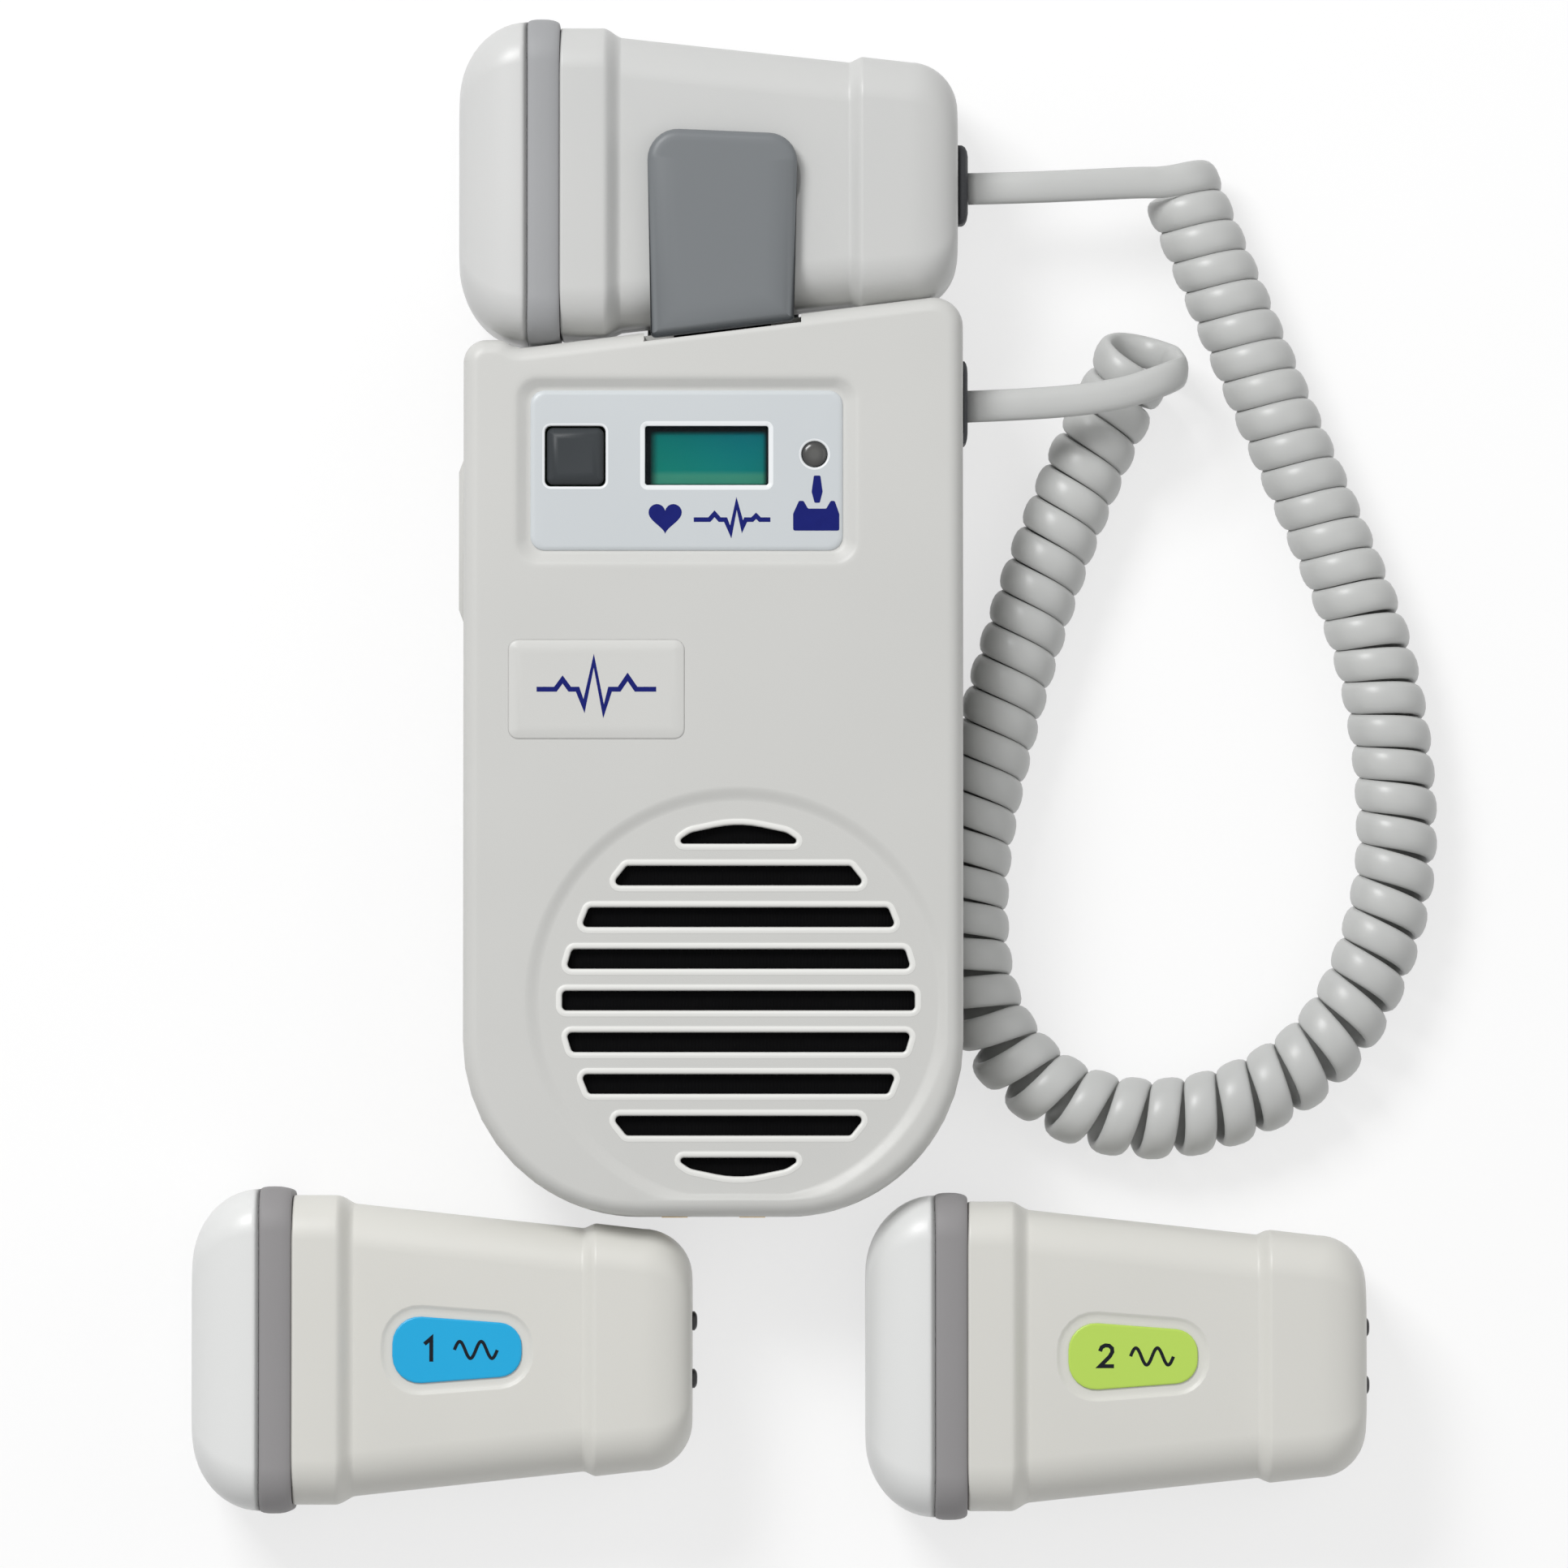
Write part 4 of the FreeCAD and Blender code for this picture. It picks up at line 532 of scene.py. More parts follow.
dish_steps, dish_points = 8, 144
dish_rings = [[] for _ in range(dish_steps + 1)]
for turn in range(dish_points):
    angle = 2 * math.pi * turn / dish_points
    outer = min(dish_radius, reach_to_rim(angle) - 0.04)
    inner = min(floor_radius, outer - 1.1)
    for step, ring in enumerate(dish_rings):
        share = step / dish_steps
        radius = outer + (inner - outer) * share
        ring.append((dish[0] + radius * math.cos(angle), dish[1] + radius * math.sin(angle),
                     case_top - (case_top - dish_floor) * gentle(share)))
skin(case, dish_rings)

# The slots' half lengths, at the edge nearer the dish's middle and at the other one, row by row outwards.
slot_ends = [(27.1, 27.1), (26.5, 25.6), (24.2, 23.0), (19.6, 17.2)]


def straight_slot(row, side):
    """The corners of a slot with leaning ends, above the dish's middle on side 1 and below it on side -1."""
    bottom, top = slot_ends[row][::side]
    middle = dish[1] + side * row * slot_spacing
    corners = [(-bottom, -slot_half_height), (bottom, -slot_half_height), (top, slot_half_height),
               (-top, slot_half_height)]
    return [(dish[0] + x, middle + y, 0.65) for x, y in corners]


def bowed_slot(side):
    """The corners of the outermost slot on one side, which bows outwards."""
    middle = dish[1] + side * len(slot_ends) * slot_spacing
    corners = [(9.9, -1.5, 0.45), (7.4, 0.2, 3.0), (0.0, 1.75, 17.0), (-7.4, 0.2, 3.0), (-9.9, -1.5, 0.45)]
    return [(dish[0] + x, middle + side * y, radius) for x, y, radius in corners][::side]


# Round every slot the floor rises in a low lip, coloured paler as a painted highlight.
slots = [straight_slot(row, side) for row in range(len(slot_ends)) for side in (1, -1) if row or side > 0]
slots += [bowed_slot(1), bowed_slot(-1)]
slot_profile = [(-1.2, dish_floor), (-0.95, dish_floor), (-0.75, dish_floor + 0.1), (-0.4, dish_floor + 0.12),
                (-0.12, dish_floor), (0.0, dish_floor - 0.3), (0.0, inside)]
for corners in slots:
    rings = [level(rounded(corners, inset, 5), z) for inset, z in slot_profile]
    skin(case, rings[:2])
    skin(case, rings[1:5], paint=1)
    skin(case, rings[4:])
for height in (case_top, panel_floor, dish_floor, badge_floor, inside):
    fill(case, height)
fill(case, -half_width, axis=0)
piece("front_shell", case, [case_grey, painted_lip_highlight], "main_unit", "front_case", slot="case_plastic")


# ---------------------------------------------------------------- rear case and battery door
# The moulded back with its battery hump and the sliding door in it. The pieces keep the frame's shapes, with
# the facets smoothed and every edge broken a little, as a mould leaves them.
broken_edge = 0.25


def softened(node, material, body="main_unit", slot=None):
    """A node's own shape as one smooth mesh, its hard edges slightly rounded."""
    shape = bmesh.new()
    shape.from_mesh(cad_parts[node].data)
    shape.transform(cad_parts[node].matrix_world)
    bmesh.ops.remove_doubles(shape, verts=shape.verts, dist=1e-6)
    bmesh.ops.dissolve_limit(shape, angle_limit=math.radians(1), verts=shape.verts, edges=shape.edges)
    made = piece(node + "_soft", shape, [material], body, node, slot=slot)
    made.modifiers.clear()
    bevel = made.modifiers.new("broken_edges", "BEVEL")
    bevel.width = broken_edge * MM
    bevel.segments = 2
    bevel.angle_limit = math.radians(30)
    bevel.use_clamp_overlap = True
    bevel.harden_normals = True


rear_grey = moulded("rear_grey", (201, 201, 198), (208, 208, 205), 0.48, 0.000018)
door_grey = moulded("door_grey", (199, 199, 196), (205, 205, 202), 0.5, 0.00002)
softened("rear_case", rear_grey, slot="case_plastic")
softened("battery_door", door_grey, "battery_door", slot="case_plastic")


# ---------------------------------------------------------------- probes
# Three probes of one mould: a blunt nose cap over the crystals, a grey rubber seal band, and a handle in two
# shells with a shoulder, a tapering waist and a rear block. The docked one is grey, the spares are warmer.
docked_place, left_place, right_place = (-0.8, 89.17, 1.0), (-41.9, -91.4, 0.0), (62.1, -92.4, 0.0)
probe_middle = 14.0
nose_length = 10.65
band_start, band_end = -27.95, -22.95
shoulder = -16.3
block_start, block_end = 21.6, 24.0
end_start, end_length = 31.1, 7.5
handle_top = 25.5
label_floor, label_top = 25.1, 25.46
label_middle, label_half_length = 2.5, 9.95
section_steps = 8


def share_of_way(value, low, high):
    """How far a value is on the way from low to high, held within 0 and 1."""
    return min(max((value - low) / (high - low), 0.0), 1.0)


def eased(value, low, high):
    """0 below, 1 above, a smooth rise between."""
    return gentle(share_of_way(value, low, high))


def round_fall(share):
    """0 to 1 as a quarter circle falls away, flat at first and steep at the end."""
    return 1 - math.sqrt(1 - share * share)


def handle_size(x):
    """Half width, bottom, top and corner radius of the handle at one place along it."""
    waist = eased(x, shoulder, -13.4)
    block = eased(x, block_start, block_end)
    half = 23.85 - 1.25 * eased(x, shoulder, -13.2)
    half -= 3.85 * share_of_way(x, -13.7, 22.05)
    half += 0.75 * block - 0.85 * share_of_way(x, 23.7, end_start)
    fall = 0.5 * round_fall(share_of_way(x, -22.45, band_end))
    end = round_fall(share_of_way(x, end_start, end_start + end_length))
    low = 0.3 + 2.2 * waist - 2.5 * block
    high = 27.7 - 2.2 * waist + 1.5 * block
    return half - fall - 7.5 * end, low + fall + 5.0 * end, high - fall - 5.0 * end, 7.0 - 2.0 * end


def nose_size(x):
    """The same for the nose cap, whose tip is blunt."""
    share = round_fall(share_of_way(x, band_start, band_start - nose_length))
    return 24.8 - 12.0 * share, 0.3 + 8.0 * share, 27.7 - 8.0 * share, 7.0 - 3.5 * share


def half_section(half, low, high, radius, up):
    """The section's upper half, up 1, or its lower half, up -1, from one side to the other."""
    edge = high if up > 0 else low
    sides = []
    for step in range(section_steps + 1):
        angle = math.radians(90 * step / section_steps)
        sides.append((half - radius + radius * math.cos(angle), edge - up * radius * (1 - math.sin(angle))))
    return [(half, probe_middle), *sides, *[(-y, z) for y, z in sides[::-1]], (-half, probe_middle)]


def full_section(*size):
    """The whole section, once round."""
    return half_section(*size, 1)[:-1] + half_section(*size, -1)[:0:-1]


def label_outline(grow):
    """The label's outline, taller towards the nose."""
    start, end = label_middle - label_half_length, label_middle + label_half_length
    return rounded([(start, -5.45, 4.2), (end, -3.95, 3.6), (end, 3.95, 3.6), (start, 5.45, 4.2)], -grow, 6)


def placed(points, origin):
    """A probe's own points, as points of the whole object."""
    return [(origin[0] + x, origin[1] + y, origin[2] + z) for x, y, z in points]


def solid(shape, rings):
    """A skin through rings, with both its ends closed."""
    rows = skin(shape, rings)
    shape.faces.new(rows[0])
    shape.faces.new(rows[-1])


def closed_loft(sections, origin):
    """A closed skin through sections, each a place along the probe and the points round it."""
    shape = bmesh.new()
    solid(shape, [placed([(x, y, z) for y, z in points], origin) for x, points in sections])
    return shape


def shell_section(x, up):
    """Half of the handle's section, with its edge drawn in towards the seam between the shells."""
    points = half_section(*handle_size(x), up)
    side = points[0][0]
    seam = [(side - 0.35, probe_middle), (side - 0.2, probe_middle + up * 0.12),
            (side, probe_middle + up * 0.3)]
    return seam + points[1:-1] + [(-y, z) for y, z in reversed(seam)]


# Places along the nose and along the handle, closer together where they step and round.
nose_stations = [band_start - nose_length * math.sin(math.radians(90 * step / 14))
                 for step in range(14, -1, -1)]
handle_stations = [band_end, -22.8, -22.65, -22.45, -20, -17.5]
handle_stations += [shoulder + 0.29 * step for step in range(11)]
handle_stations += [-10, -5, 0, 6, 12, 17, 20.5]
handle_stations += [block_start + 0.24 * step for step in range(11)]
handle_stations += [27, 30, end_start]
handle_stations += [end_start + end_length * math.sin(math.radians(90 * step / 12)) for step in range(1, 13)]

# The band's fall from its fullest section, the label's pocket and the label's own edge.
band_profile = [(0.0, -0.5), (0.2, -0.28), (0.6, -0.12), (1.3, -0.02), (2.2, 0.0), (3.2, -0.03), (4.0, -0.16),
                (4.6, -0.38), (4.9, -0.62), (5.0, -0.9)]
pocket_profile = [(1.9, handle_top), (1.75, 25.47), (1.45, 25.3), (1.15, 25.13), (0.6, label_floor),
                  (0.2, label_floor)]
label_profile = [(0.0, label_floor), (0.0, 25.34), (-0.12, 25.43), (-0.35, label_top)]


def build_probe(name, body, origin, shell, nose, band, label, label_slot):
    """All the outer pieces of one probe."""
    shape = closed_loft([(x, full_section(*nose_size(x))) for x in nose_stations], origin)
    piece(name + "_nose", shape, [nose], body, name + "_nose_cap", slot="nose_plastic")
    shape = closed_loft([(band_start + x, full_section(25.2 + fall, -fall, 28.0 + fall, 7.0 + fall))
                         for x, fall in band_profile], origin)
    piece(name + "_band", shape, [band], body, name + "_seal_band", slot="band_rubber")
    for half, up in (("_upper", 1), ("_lower", -1)):
        shape = closed_loft([(x, shell_section(x, up)) for x in handle_stations], origin)
        if up > 0:
            top = (origin[2] + handle_top) * MM
            flat = [face for face in shape.faces if len(face.verts) == 4
                    and all(abs(vertex.co.z - top) < 1e-6 for vertex in face.verts)]
            bmesh.ops.delete(shape, geom=flat, context="FACES_ONLY")
            rows = skin(shape, [placed(level(label_outline(grow), z), origin) for grow, z in pocket_profile])
            shape.faces.new(rows[-1])
            fill(shape, origin[2] + handle_top)
        piece(name + half, shape, [shell], body, name + half + "_shell", slot="probe_plastic")
    shape = bmesh.new()
    solid(shape, [placed(level(label_outline(grow), z), origin) for grow, z in label_profile])
    piece(name + "_label", shape, [label], body, name + "_label_plate", slot=label_slot)


probe_grey = moulded("probe_grey", (202, 203, 202), (209, 209, 207), 0.4)
nose_grey = moulded("nose_grey", (207, 208, 207), (213, 213, 212), 0.36)
spare_white = moulded("spare_white", (220, 219, 213), (226, 225, 219), 0.4)
spare_nose = moulded("spare_nose", (230, 231, 230), (235, 236, 235), 0.34)
band_grey = moulded("band_grey", (144, 142, 143), (150, 148, 149), 0.6, 0.00002)
band_docked = moulded("band_docked", (157, 158, 160), (163, 164, 166), 0.6, 0.00002)
label_plain = moulded("label_plain", (196, 198, 200), (202, 204, 206), 0.35)
label_blue = moulded("label_blue", (0, 170, 226), (0, 178, 232), 0.32, 0.000004)
label_green = moulded("label_green", (187, 221, 88), (194, 227, 97), 0.32, 0.000004)
build_probe("docked", "docked_probe", docked_place, probe_grey, nose_grey, band_docked, label_plain,
            "probe_plastic")
build_probe("left", "left_spare_probe", left_place, spare_white, spare_nose, band_grey, label_blue,
            "label_blue")
build_probe("right", "right_spare_probe", right_place, spare_white, spare_nose, band_grey, label_green,
            "label_green")


def printing_ink(name, deep, pale):
    """Matt ink with a slightly uneven coat."""
    return finish(name, lambda place: {
        "Base Color": blended(spots(place, 700), srgb(*deep), srgb(*pale)),
        "Roughness": spots(place, 1500) * 0.12 + 0.5,
        "Specular IOR Level": 0.12,
    })


def printed(name, outlines, z, ink, body):
    """Ink in these outlines, a few hundredths of a millimetre thick."""
    shape = bmesh.new()
    for outline in outlines:
        solid(shape, [level(outline, height) for height in (z - 0.01, z + 0.025)])
    piece(name, shape, [ink], body)


def stroke(points, width):
    """The outline of a line of even width through these points."""
    places = [Vector(point) for point in points]
    runs = [(after - before).normalized() for before, after in zip(places, places[1:])]
    left, right = [], []
    for here, before, after in zip(places, [runs[0], *runs], [*runs, runs[-1]]):
        across = Vector((-before.y - after.y, before.x + after.x)).normalized()
        reach = width / 2 / max(across.dot(Vector((-before.y, before.x))), 0.35)
        left.append(tuple(here + across * reach))
        right.append(tuple(here - across * reach))
    return left + right[::-1]


def moved(points, place):
    """Flat points, moved to a place."""
    return [(place[0] + x, place[1] + y) for x, y in points]


# Each spare probe's label holds a plain number and a ripple.
navy_ink = printing_ink("navy_ink", (18, 26, 104), (24, 33, 116))
black_ink = printing_ink("black_ink", (16, 20, 28), (24, 28, 36))
one = [(-0.9, 0.9), (0.15, 1.8), (0.15, -1.8)]
two = [(-1.0, 0.8), (-0.75, 1.4), (-0.2, 1.7), (0.4, 1.65), (0.85, 1.25), (0.9, 0.7), (0.5, 0.0),
       (-1.0, -1.5), (1.15, -1.5)]
ripple = [(0.1 * step, 1.3 * math.sin(0.19 * step)) for step in range(-33, 34)]
for name, (x, y, z), number in (("left", left_place, one), ("right", right_place, two)):
    marks = [stroke(moved(number, (x - 1.6, y)), 0.6), stroke(moved(ripple, (x + 5.4, y)), 0.5)]
    printed(name + "_mark", marks, z + label_top, black_ink, name + "_spare_probe")


# ---------------------------------------------------------------- probe clip
# The dark grey tongue that holds the docked probe. Its sides are rounded and its foot bends down into the
# notch in the case's edge, where it turns on a pin against a spring.
clip_grey = moulded("clip_grey", (112, 116, 119), (119, 123, 126), 0.45)
edge_slope = 0.12338
foot_gap = 0.5
bend_start, bend_length, bend_depth = 28.8, 3.6, 1.9
arm_left, arm_right = -6.1, 8.9
knuckle_radius, knuckle_below, knuckle_height = 2.2, 3.2, 24.3
tip = docked_place[1] + 7.8


def edge_height(x):
    """The case's slanted top edge at one place across."""
    return 65.1 + edge_slope * x


tongue = [
    (-9.65, edge_height(-9.65) + foot_gap, 0.8), (12.45, edge_height(12.45) + foot_gap, 0.8),
    (13.05, tip - 1.0, 4.5), (-10.25, tip, 4.7),
]
tongue_profile = [
    (0.4, 26.8), (0.0, 27.15), (0.0, 28.5), (0.1, 28.95), (0.35, 29.4), (0.75, 29.68), (1.3, 29.79),
    (2.0, 29.8), (3.2, 29.8), (4.6, 29.8), (6.0, 29.8),
]
rings = []
for inset, z in tongue_profile:
    ring = []
    for x, y in rounded(tongue, inset, 8):
        above_foot = (y - edge_height(x) - foot_gap) / math.hypot(1, edge_slope)
        bend = bend_depth * (1 - min(above_foot / bend_length, 1.0)) ** 2 if z > bend_start else 0.0
        ring.append((x, y, z - bend))
    rings.append(ring)
shape = bmesh.new()
solid(shape, rings)

# The arm that goes down behind the edge, in two steps, and the knuckle round the pin.
for low, high, bottom, top in ((-3.2, 2.2, 22.1, 26.5), (0.8, 2.2, 26.5, 27.0)):
    outline = [(x, edge_height(x) + up, 0.2)
               for x, up in ((arm_left, low), (arm_right, low), (arm_right, high), (arm_left, high))]
    solid(shape, [level(rounded(outline, 0, 2), z) for z in (bottom, top)])
edge_run = Vector((1, edge_slope, 0)).normalized()
edge_side = Vector((-edge_run.y, edge_run.x, 0))
rings = []
for x in (arm_left, arm_right):
    middle = Vector((x, edge_height(x) - knuckle_below, knuckle_height))
    rings.append([middle + edge_side * out + Vector((0, 0, up))
                  for out, up in circle((0, 0), knuckle_radius, 24)])
solid(shape, rings)
piece("clip_tongue", shape, [clip_grey], "probe_clip", "probe_clip", slot="holder_plastic")


# ---------------------------------------------------------------- control panel overlay
# A thin bluish polycarbonate film stuck to the panel's floor, its openings edged in white: white print on the
# flat border and a painted highlight on each opening's chamfer. The prints on it are a heart, a pulse line
# and a sign for setting a probe in its rest, in dark blue ink.
film_top = 29.2
overlay_film = moulded("overlay_film", (204, 209, 212), (209, 214, 217), 0.38, 0.000004)
# The white edge colour is white print on the flat border and a painted highlight on each opening's chamfer.
overlay_white_edge_and_highlight = moulded("overlay_white_edge_and_highlight", (236, 240, 242), (243, 246, 248), 0.36, 0.000004)


def box_rings(middle, size, radius, profile, steps=6):
    """Level rings of a rectangle with round corners, each given as its inset and height."""
    return [level(box_outline(middle, *size, radius, inset, steps), z) for inset, z in profile]


film = bmesh.new()
skin(film, box_rings(panel, (47.8, 24.4), 2.0, (
    (-0.15, panel_floor), (-0.15, 28.87), (0.05, 29.02), (0.3, 29.14), (0.6, film_top))))
for opening, size, radius, border in (
    (key_middle, (key_hole, key_hole), 0.9, 0.4),
    (window_middle, (19.0, 9.1), 0.4, 0.75),
    (lens_middle, (lens_hole * 2, lens_hole * 2), lens_hole, 0.4),
):
    rings = box_rings(opening, size, radius, (
        (0.0, panel_floor), (0.0, 29.06), (-0.12, film_top), (-border, film_top)), 8)
    skin(film, rings[:2])
    # Painted highlight on the chamfer, white print on the flat border.
    skin(film, rings[1:], paint=1)
fill(film, film_top)
fill(film, panel_floor)
piece("overlay", film, [overlay_film, overlay_white_edge_and_highlight], "main_unit", "control_panel", slot="overlay_film")

heart_middle, heart_scale = (-7.4, 36.8), 0.16
heart = []
for turn in range(48):
    angle = 2 * math.pi * turn / 48
    across = 16 * math.sin(angle) ** 3
    up = 13 * math.cos(angle) - 5 * math.cos(2 * angle) - 2 * math.cos(3 * angle) - math.cos(4 * angle)
    heart.append((heart_middle[0] + heart_scale * across, heart_middle[1] + heart_scale * up))
pulse = [
    (-3.0, 36.3), (-0.6, 36.3), (0.2, 37.2), (1.0, 36.3), (1.9, 36.3), (2.7, 34.4), (3.6, 38.8), (4.5, 35.2),
    (5.0, 36.3), (6.0, 36.3), (6.6, 36.9), (7.2, 36.3), (8.8, 36.3),
]
rest_sign = rounded([
    (12.3, 34.6, 0.3), (19.4, 34.6, 0.3), (19.4, 37.2, 0.8), (18.7, 39.2, 0.3), (18.1, 39.2, 0.3),
    (17.4, 38.0, 0.3), (14.6, 38.0, 0.3), (13.9, 39.2, 0.3), (13.2, 39.2, 0.3), (12.3, 37.2, 0.8),
], 0, 4)
probe_sign = rounded([
    (15.6, 38.9, 0.2), (16.4, 38.9, 0.2), (16.85, 40.6, 0.6), (16.5, 43.1, 0.2), (15.5, 43.1, 0.2),
    (15.15, 40.6, 0.6),
], 0, 3)
printed("panel_prints", [heart[::-1], stroke(pulse, 0.7), rest_sign, probe_sign], film_top, navy_ink,
        "main_unit")


# ---------------------------------------------------------------- display
# The display module lies deep under the window: teal above, greener below, in a dark frame that is wider at
# the top and left, where it is partly painted shadow of the window's edge. The window is a faintly tinted
# pane with a light gloss, clipped under the overlay.
lit_left, lit_right, lit_low, lit_high = -9.1, 7.9, 41.9, 49.7


def along(place, axis):
    """One coordinate in millimetres."""
    return place.call("SeparateXYZ", {0: place}, output=axis) * 1000


def stepped(value, edge, soft):
    """0 below the edge and 1 above it, with a ramp of this width between."""
    return value.call("MapRange", {"Value": value, "From Min": edge - soft / 2, "From Max": edge + soft / 2})


def display_paint(place):
    """The lit field's colours and the dark frame round it, wider at the top and left as painted shadow."""
    across, up = along(place, 0), along(place, 1)
    tone = stepped(up, 45.4, 8.0)
    field = blended(tone, srgb(16, 146, 138), srgb(0, 122, 132))
    field = blended(stepped(across, -3.0, 14.0), blended(tone, srgb(24, 150, 130), srgb(0, 130, 122)), field)
    field = blended(stepped(up, 43.6, 0.8), srgb(70, 162, 138), field)
    # The dark margin is wider at the top and left: painted shadow of the window's edge.
    lit = stepped(across, lit_left, 1.3) * (1.0 - stepped(across, lit_right, 0.7))
    lit = lit * (1.0 - stepped(up, lit_high, 0.8)) * stepped(up, lit_low, 0.3)
    lines = place.call("TexWave", {"Vector": place, "Scale": 900.0}, bands_direction="X") * 0.05
    return {
        "Base Color": blended(lit, srgb(8, 18, 26), field),
        "Roughness": spots(place, 300) * 0.1 + 0.3 + lines,
        "Specular IOR Level": 0.15,
        "Emission Color": blended(lit, (0, 0, 0, 1), field),
        "Emission Strength": 0.2,
    }


def dress(node, material):
    """Gives a carried-over node its own finish."""
    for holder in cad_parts[node].material_slots:
        holder.material = material


dress("display_module", finish("display_field", display_paint))
dress("display_window", finish("window_pane", lambda place: {
    "Base Color": blended(spots(place, 80), srgb(10, 22, 26), srgb(16, 30, 34)),
    "Roughness": spots(place, 400) * 0.04 + 0.04,
    "Specular IOR Level": 0.15,
    "Alpha": spots(place, 120) * 0.04 + 0.12,
}))


# ---------------------------------------------------------------- power button and indicator lens
# A square charcoal key with a flat top and sloping sides, which presses in, and a small smoked lens over the
# indicator lamp.
key_width = 8.75
key_plastic = moulded("key_charcoal", (50, 54, 57), (58, 62, 65), 0.42, 0.000012, 0.25)
shape = bmesh.new()
solid(shape, box_rings(key_middle, (key_width, key_width), 1.0, (
    (0.3, 27.6), (0.0, 27.9), (0.0, 28.8), (0.12, 29.1), (0.6, 29.6), (1.2, 29.98), (1.5, 30.12),
    (1.8, 30.16), (2.4, 30.1), (4.0, 30.08)), 5))
piece("button_cap", shape, [key_plastic], "power_button", "power_button", slot="key_dark")


def lens_paint_with_painted_light(place):
    """Smoked plastic, lighter in the middle and darker towards its edge: a painted highlight and painted
    shade on the dome.
    """
    across, up = along(place, 0) - lens_middle[0], along(place, 1) - lens_middle[1]
    out = (across * across + up * up).maths("SQRT")
    return {
        # Painted highlight in the middle, painted shade towards the rim.
        "Base Color": blended(stepped(out, 1.2, 1.3), srgb(82, 82, 80), srgb(36, 36, 36)),
        "Roughness": spots(place, 900) * 0.08 + 0.2,
        "Coat Weight": 0.3,
    }


lens_smoked = finish("lens_smoked", lens_paint_with_painted_light)
lens_profile = [(1.9, 28.2), (1.9, 29.25), (1.82, 29.45), (1.6, 29.6), (1.1, 29.68), (0.5, 29.7)]
shape = bmesh.new()
solid(shape, [level(circle(lens_middle, radius, 36), z) for radius, z in lens_profile])
piece("lamp_lens", shape, [lens_smoked], "main_unit", "indicator_lens", slot="lens_dark")


# ---------------------------------------------------------------- name plate blank
# A plain plate in the case's colour, glued into its pocket, with soft edges. It holds a pulse line in dark
# blue ink and nothing else.
badge_top = 30.32
badge_pale = moulded("badge_pale", (210, 210, 207), (216, 216, 213), 0.36)
badge_profile = [(0.0, badge_floor), (0.0, 29.99), (0.3, 30.07), (0.7, 30.16), (1.2, 30.25), (1.7, 30.3),
                 (2.2, badge_top)]
shape = bmesh.new()
solid(shape, box_rings(badge, (27.1, 15.3), 1.5, badge_profile))
piece("badge", shape, [badge_pale], "main_unit", "badge_plate", slot="badge_pale")
wave = [
    (-9.2, 0.0), (-6.3, 0.0), (-5.2, 1.5), (-4.1, 0.0), (-2.9, 0.0), (-1.9, -2.6), (-0.4, 4.4), (1.1, -3.4),
    (2.1, 0.0), (3.5, 0.0), (4.8, 1.9), (6.1, 0.0), (9.2, 0.0),
]
printed("badge_print", [stroke(moved(wave, badge), 0.75)], badge_top, navy_ink, "main_unit")


# ---------------------------------------------------------------- volume rocker, grommet and plug
# The side key is moulded in the case's colour. The grommet and the plug are black rubber, moulded onto the
# cord's two ends, and the cradle plate behind the docked probe is of the clip's plastic.
black_rubber = moulded("black_rubber", (36, 38, 42), (44, 46, 50), 0.55, 0.00002)
softened("volume_rocker", case_grey, "volume_rocker", slot="case_plastic")
softened("cable_grommet", black_rubber, slot="black_rubber")
softened("cradle_plate", clip_grey, slot="holder_plastic")
stud_offset = 4.45
plug_middle = (docked_place[1], docked_place[2] + probe_middle)


def boot(name, back, front, middle, size, body, *nodes, holes=()):
    """A bowed rubber boot on a lead, with round pockets in its back."""
    shape = bmesh.new()
    rings = []
    for out, inset in ((0.0, 0.0), (0.4, 0.0), (0.7, 0.3), (0.9, 0.9), (1.0, 1.8)):
        x = back + (front - back) * out
        rings.append([(x, y, z) for y, z in box_outline(middle, *size, 1.6, inset)])
    rows = skin(shape, rings)
    shape.faces.new(rows[-1])
    for place, radius, depth in holes:
        rows = skin(shape, [[(x, y, z) for y, z in circle(place, radius, 24)]
                            for x in (back, back + depth)])
        shape.faces.new(rows[-1])
    fill(shape, back, axis=0)
    return piece(name, shape, [black_rubber], body, *nodes, slot="black_rubber")


boot("grommet_collar", 38.48, 39.3, (54.8, 20.0), (12.8, 8.0), "main_unit")
plug = boot("plug_boot", 37.85, 39.45, plug_middle, (12.4, 6.4), "cord_plug", "probe_plug",
            holes=[((plug_middle[0] + side * stud_offset, plug_middle[1]), 1.8, 0.9) for side in (-1, 1)])
[tuple(point * MM) for point in reversed(cord_path)]


# ---------------------------------------------------------------- screws and contact studs
# Four plated cross-head screws hold the rear case to the front one from behind. Each probe has two black
# round studs in its rear end, which the plug's pockets go over.
def metal(name, deep, pale, rough=0.28):
    """Plated metal with fine marks from handling."""
    return finish(name, lambda place: {
        "Base Color": blended(spots(place, 200), srgb(*deep), srgb(*pale)),
        "Metallic": 1.0,
        "Roughness": spots(place, 1500) * 0.14 + rough,
        "Normal": relief(spots(place, 4000), 0.000004),
    })


def geometry(wire, kind, inputs, **settings):
    """What a geometry node makes of its inputs."""
    return wire.call(kind, inputs, family="GeometryNode", **settings)


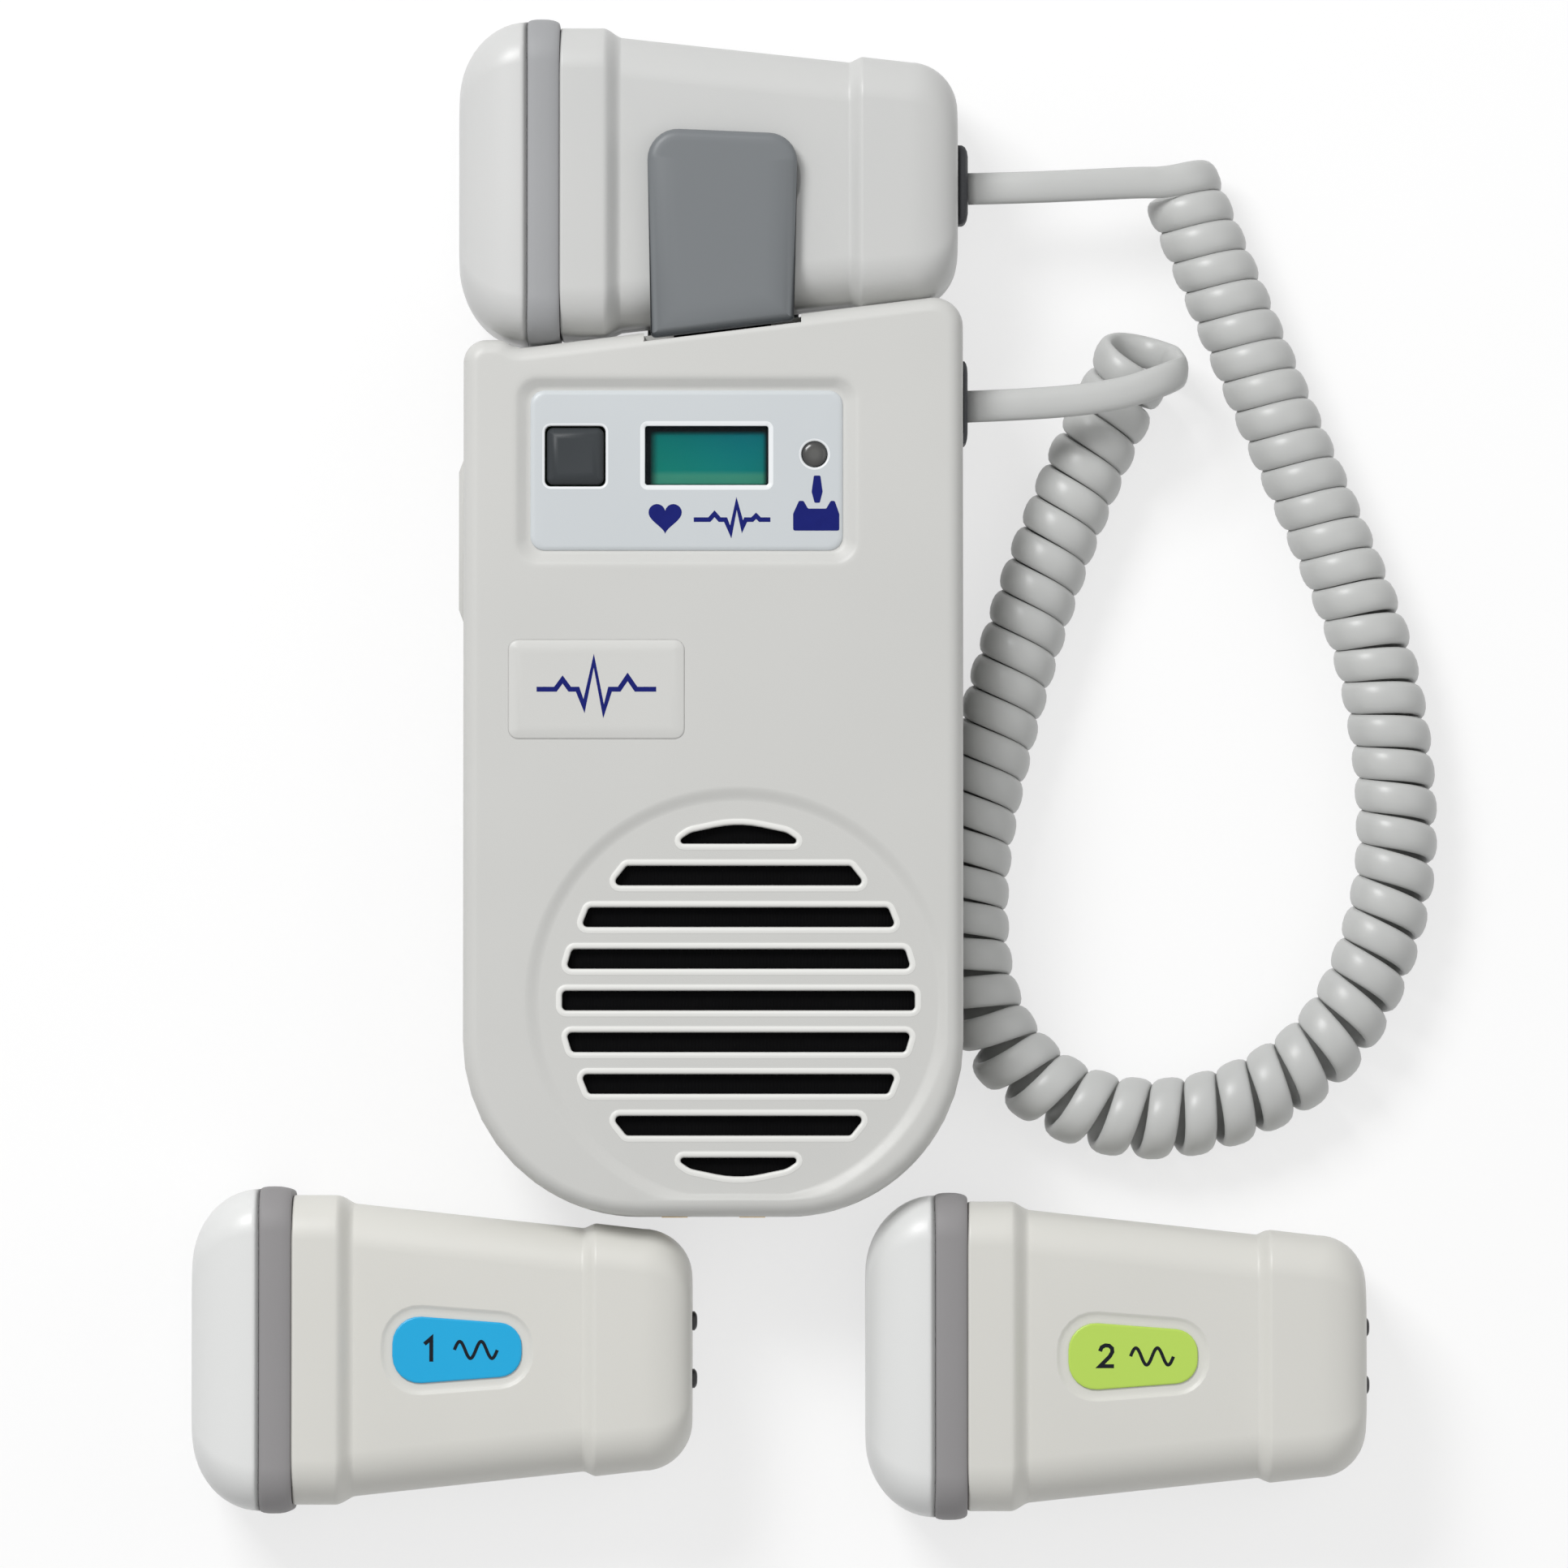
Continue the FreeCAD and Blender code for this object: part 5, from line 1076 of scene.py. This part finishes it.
def repeated(name, build, sizes, places, turn, material, body, node, slot):
    """One mesh of like pieces: a tree makes one from its named sizes and sets it at every place."""
    tree = bpy.data.node_groups.new(name, "GeometryNodeTree")
    kinds = {"Places": "Geometry", **dict.fromkeys(sizes, "Float"), "Finish": "Material"}
    for label, kind in kinds.items():
        tree.interface.new_socket(label, in_out="INPUT", socket_type="NodeSocket" + kind)
    tree.interface.new_socket("Result", in_out="OUTPUT", socket_type="NodeSocketGeometry")
    inputs = tree.nodes.new("NodeGroupInput").outputs
    given = {label: Wire(tree, inputs[label]) for label in kinds}
    single = build(given)
    many = geometry(single, "InstanceOnPoints",
                    {"Points": given["Places"], "Instance": single, "Rotation": turn})
    real = geometry(many, "RealizeInstances", {"Geometry": many})
    painted = geometry(real, "SetMaterial", {"Geometry": real, "Material": given["Finish"]})
    tree.links.new(painted.value, tree.nodes.new("NodeGroupOutput").inputs["Result"])

    points = bpy.data.meshes.new(name)
    points.from_pydata([Vector(place) * MM for place in places], [], [])
    holder = bpy.data.objects.new(name, points)
    bpy.context.scene.collection.objects.link(holder)
    modifier = holder.modifiers.new("tree", "NODES")
    modifier.node_group = tree
    values = {**{label: size * MM for label, size in sizes.items()}, "Finish": material}
    for socket in tree.interface.items_tree:
        if socket.name in values:
            modifier[socket.identifier] = values[socket.name]
    ready = holder.evaluated_get(bpy.context.evaluated_depsgraph_get())
    shape = bmesh.new()
    shape.from_mesh(bpy.data.meshes.new_from_object(ready))
    bpy.data.objects.remove(holder)
    piece(name, shape, [material], body, node, slot=slot)


def rod(radius, length, top):
    """A closed round rod along Z, from its top downwards."""
    made = geometry(radius, "MeshCylinder",
                    {"Vertices": 24, "Fill Segments": 4, "Radius": radius, "Depth": length})
    lift = radius.call("CombineXYZ", {"Z": top - length * 0.5})
    return geometry(made, "Transform", {"Geometry": made, "Translation": lift})


def domed(made, radius, length, fall):
    """The rod with its top, at height 0, falling away towards the rim."""
    place = geometry(made, "InputPosition", {})
    x, y, z = [place.call("SeparateXYZ", {0: place}, output=axis) for axis in range(3)]
    out = (x * x + y * y).maths("DIVIDE", radius * radius)
    drop = out * out * fall * z.maths("GREATER_THAN", length * -0.5) * -1
    offset = place.call("CombineXYZ", {"Z": drop})
    return geometry(made, "SetPosition", {"Geometry": made, "Offset": offset})


def screw(given):
    """A screw with a slightly domed head and a cross recess, driven upwards."""
    radius, height, deep = given["Head radius"], given["Head height"], given["Recess depth"]
    head = domed(rod(radius, height, height * 0), radius, height, given["Head fall"])
    bars = []
    for sides in (("Recess length", "Recess width"), ("Recess width", "Recess length")):
        size = deep.call("CombineXYZ", {"X": given[sides[0]], "Y": given[sides[1]], "Z": deep * 2})
        bars.append(geometry(deep, "MeshCube", {"Size": size}))
    head = geometry(head, "MeshBoolean", {"Mesh 1": head, "Mesh 2": bars}, operation="DIFFERENCE")
    shank = rod(given["Shank radius"], given["Shank length"], height * -1)
    return geometry(head, "JoinGeometry", {"Geometry": [head, shank]})


def stud(given):
    """A round contact with a domed tip and the flange that holds it in the wall."""
    radius, length = given["Radius"], given["Length"]
    tip = domed(rod(radius, length, length * 0), radius, length, given["Dome"])
    flange = rod(radius + given["Flange"], given["Flange thickness"], given["Flange depth"] * -1)
    return geometry(tip, "JoinGeometry", {"Geometry": [tip, flange]})


screw_sizes = {
    "Head radius": 1.9, "Head height": 1.3, "Head fall": 0.25, "Recess length": 2.2, "Recess width": 0.5,
    "Recess depth": 0.7, "Shank radius": 1.0, "Shank length": 9.1,
}
stud_sizes = {
    "Radius": 1.5, "Length": 5.9, "Dome": 0.45, "Flange": 0.7, "Flange thickness": 1.4, "Flange depth": 2.9,
}
screw_height = 13.5
screw_places = level([(-34.5, -28.0), (34.5, -28.0), (-34.5, 8.0), (34.5, 38.0)], screw_height)
screw_steel = metal("screw_steel", (150, 150, 148), (190, 190, 186))
stud_black = moulded("stud_black", (22, 22, 24), (36, 36, 38), 0.35)
stud_tips = [(39.4, side * stud_offset, probe_middle) for side in (-1, 1)]
repeated("back_screws", screw, screw_sizes, screw_places, (math.pi, 0, 0), screw_steel, "main_unit",
         "case_screws", "plated_steel")
for probe, body, origin in (
    ("docked", "docked_probe", docked_place),
    ("left", "left_spare_probe", left_place),
    ("right", "right_spare_probe", right_place),
):
    repeated(probe + "_studs", stud, stud_sizes, placed(stud_tips, origin), (0, math.pi / 2, 0), stud_black,
             body, probe + "_contact_studs", "stud_black")


# ---------------------------------------------------------------- inner and small parts
# These keep the frame's shapes and get only a finish: black cloth behind the grille, steel pins and a spring,
# gold-plated charging contacts, the loudspeaker, the boards, switches, battery cells and crystals.
dress("speaker_cloth", finish("black_cloth", lambda place: {
    "Base Color": blended(spots(place, 150), srgb(3, 3, 4), srgb(9, 9, 10)),
    "Specular IOR Level": 0.1,
    "Roughness": spots(place, 900) * 0.1 + 0.85,
    "Normal": relief(place.call("TexWave", {"Vector": place, "Scale": 600.0}, output=1), 0.00006),
}))
for node, name, deep, pale, rough in (
    ("clip_pin", "pin_steel", (160, 160, 160), (196, 196, 194), 0.2),
    ("clip_spring", "spring_steel", (128, 128, 130), (168, 168, 170), 0.25),
    ("rocker_pin", "rocker_pin_steel", (155, 155, 155), (190, 190, 188), 0.22),
    ("speaker_frame", "basket_steel", (132, 134, 136), (160, 162, 164), 0.4),
    ("charge_contacts", "charge_gold", (196, 160, 84), (222, 186, 106), 0.24),
    ("battery_contacts", "contact_nickel", (168, 166, 160), (194, 192, 186), 0.3),
):
    dress(node, metal(name, deep, pale, rough))
for node, name, deep, pale, rough, grain in (
    ("speaker_cone", "paper_cone", (56, 54, 52), (72, 69, 66), 0.85, 0.00006),
    ("speaker_magnet", "ferrite", (44, 44, 46), (58, 58, 60), 0.6, 0.00003),
    ("button_switch", "switch_black", (26, 26, 28), (38, 38, 40), 0.4, 0.00001),
    ("volume_switch", "side_switch_black", (28, 28, 30), (40, 40, 42), 0.42, 0.00001),
    ("board_components", "component_black", (24, 24, 26), (46, 46, 48), 0.45, 0.00001),
    ("circuit_board", "board_green", (18, 74, 44), (28, 96, 58), 0.4, 0.00002),
    ("battery_cells", "cell_wrap", (40, 96, 62), (52, 112, 74), 0.35, 0.000006),
):
    dress(node, moulded(name, deep, pale, rough, grain))
for probe in ("docked", "left", "right"):
    dress(probe + "_crystal_pair", moulded(probe + "_ceramic", (206, 200, 186), (220, 214, 200), 0.5))
    dress(probe + "_tuning_board", moulded(probe + "_board_green", (20, 78, 48), (30, 100, 62), 0.4))
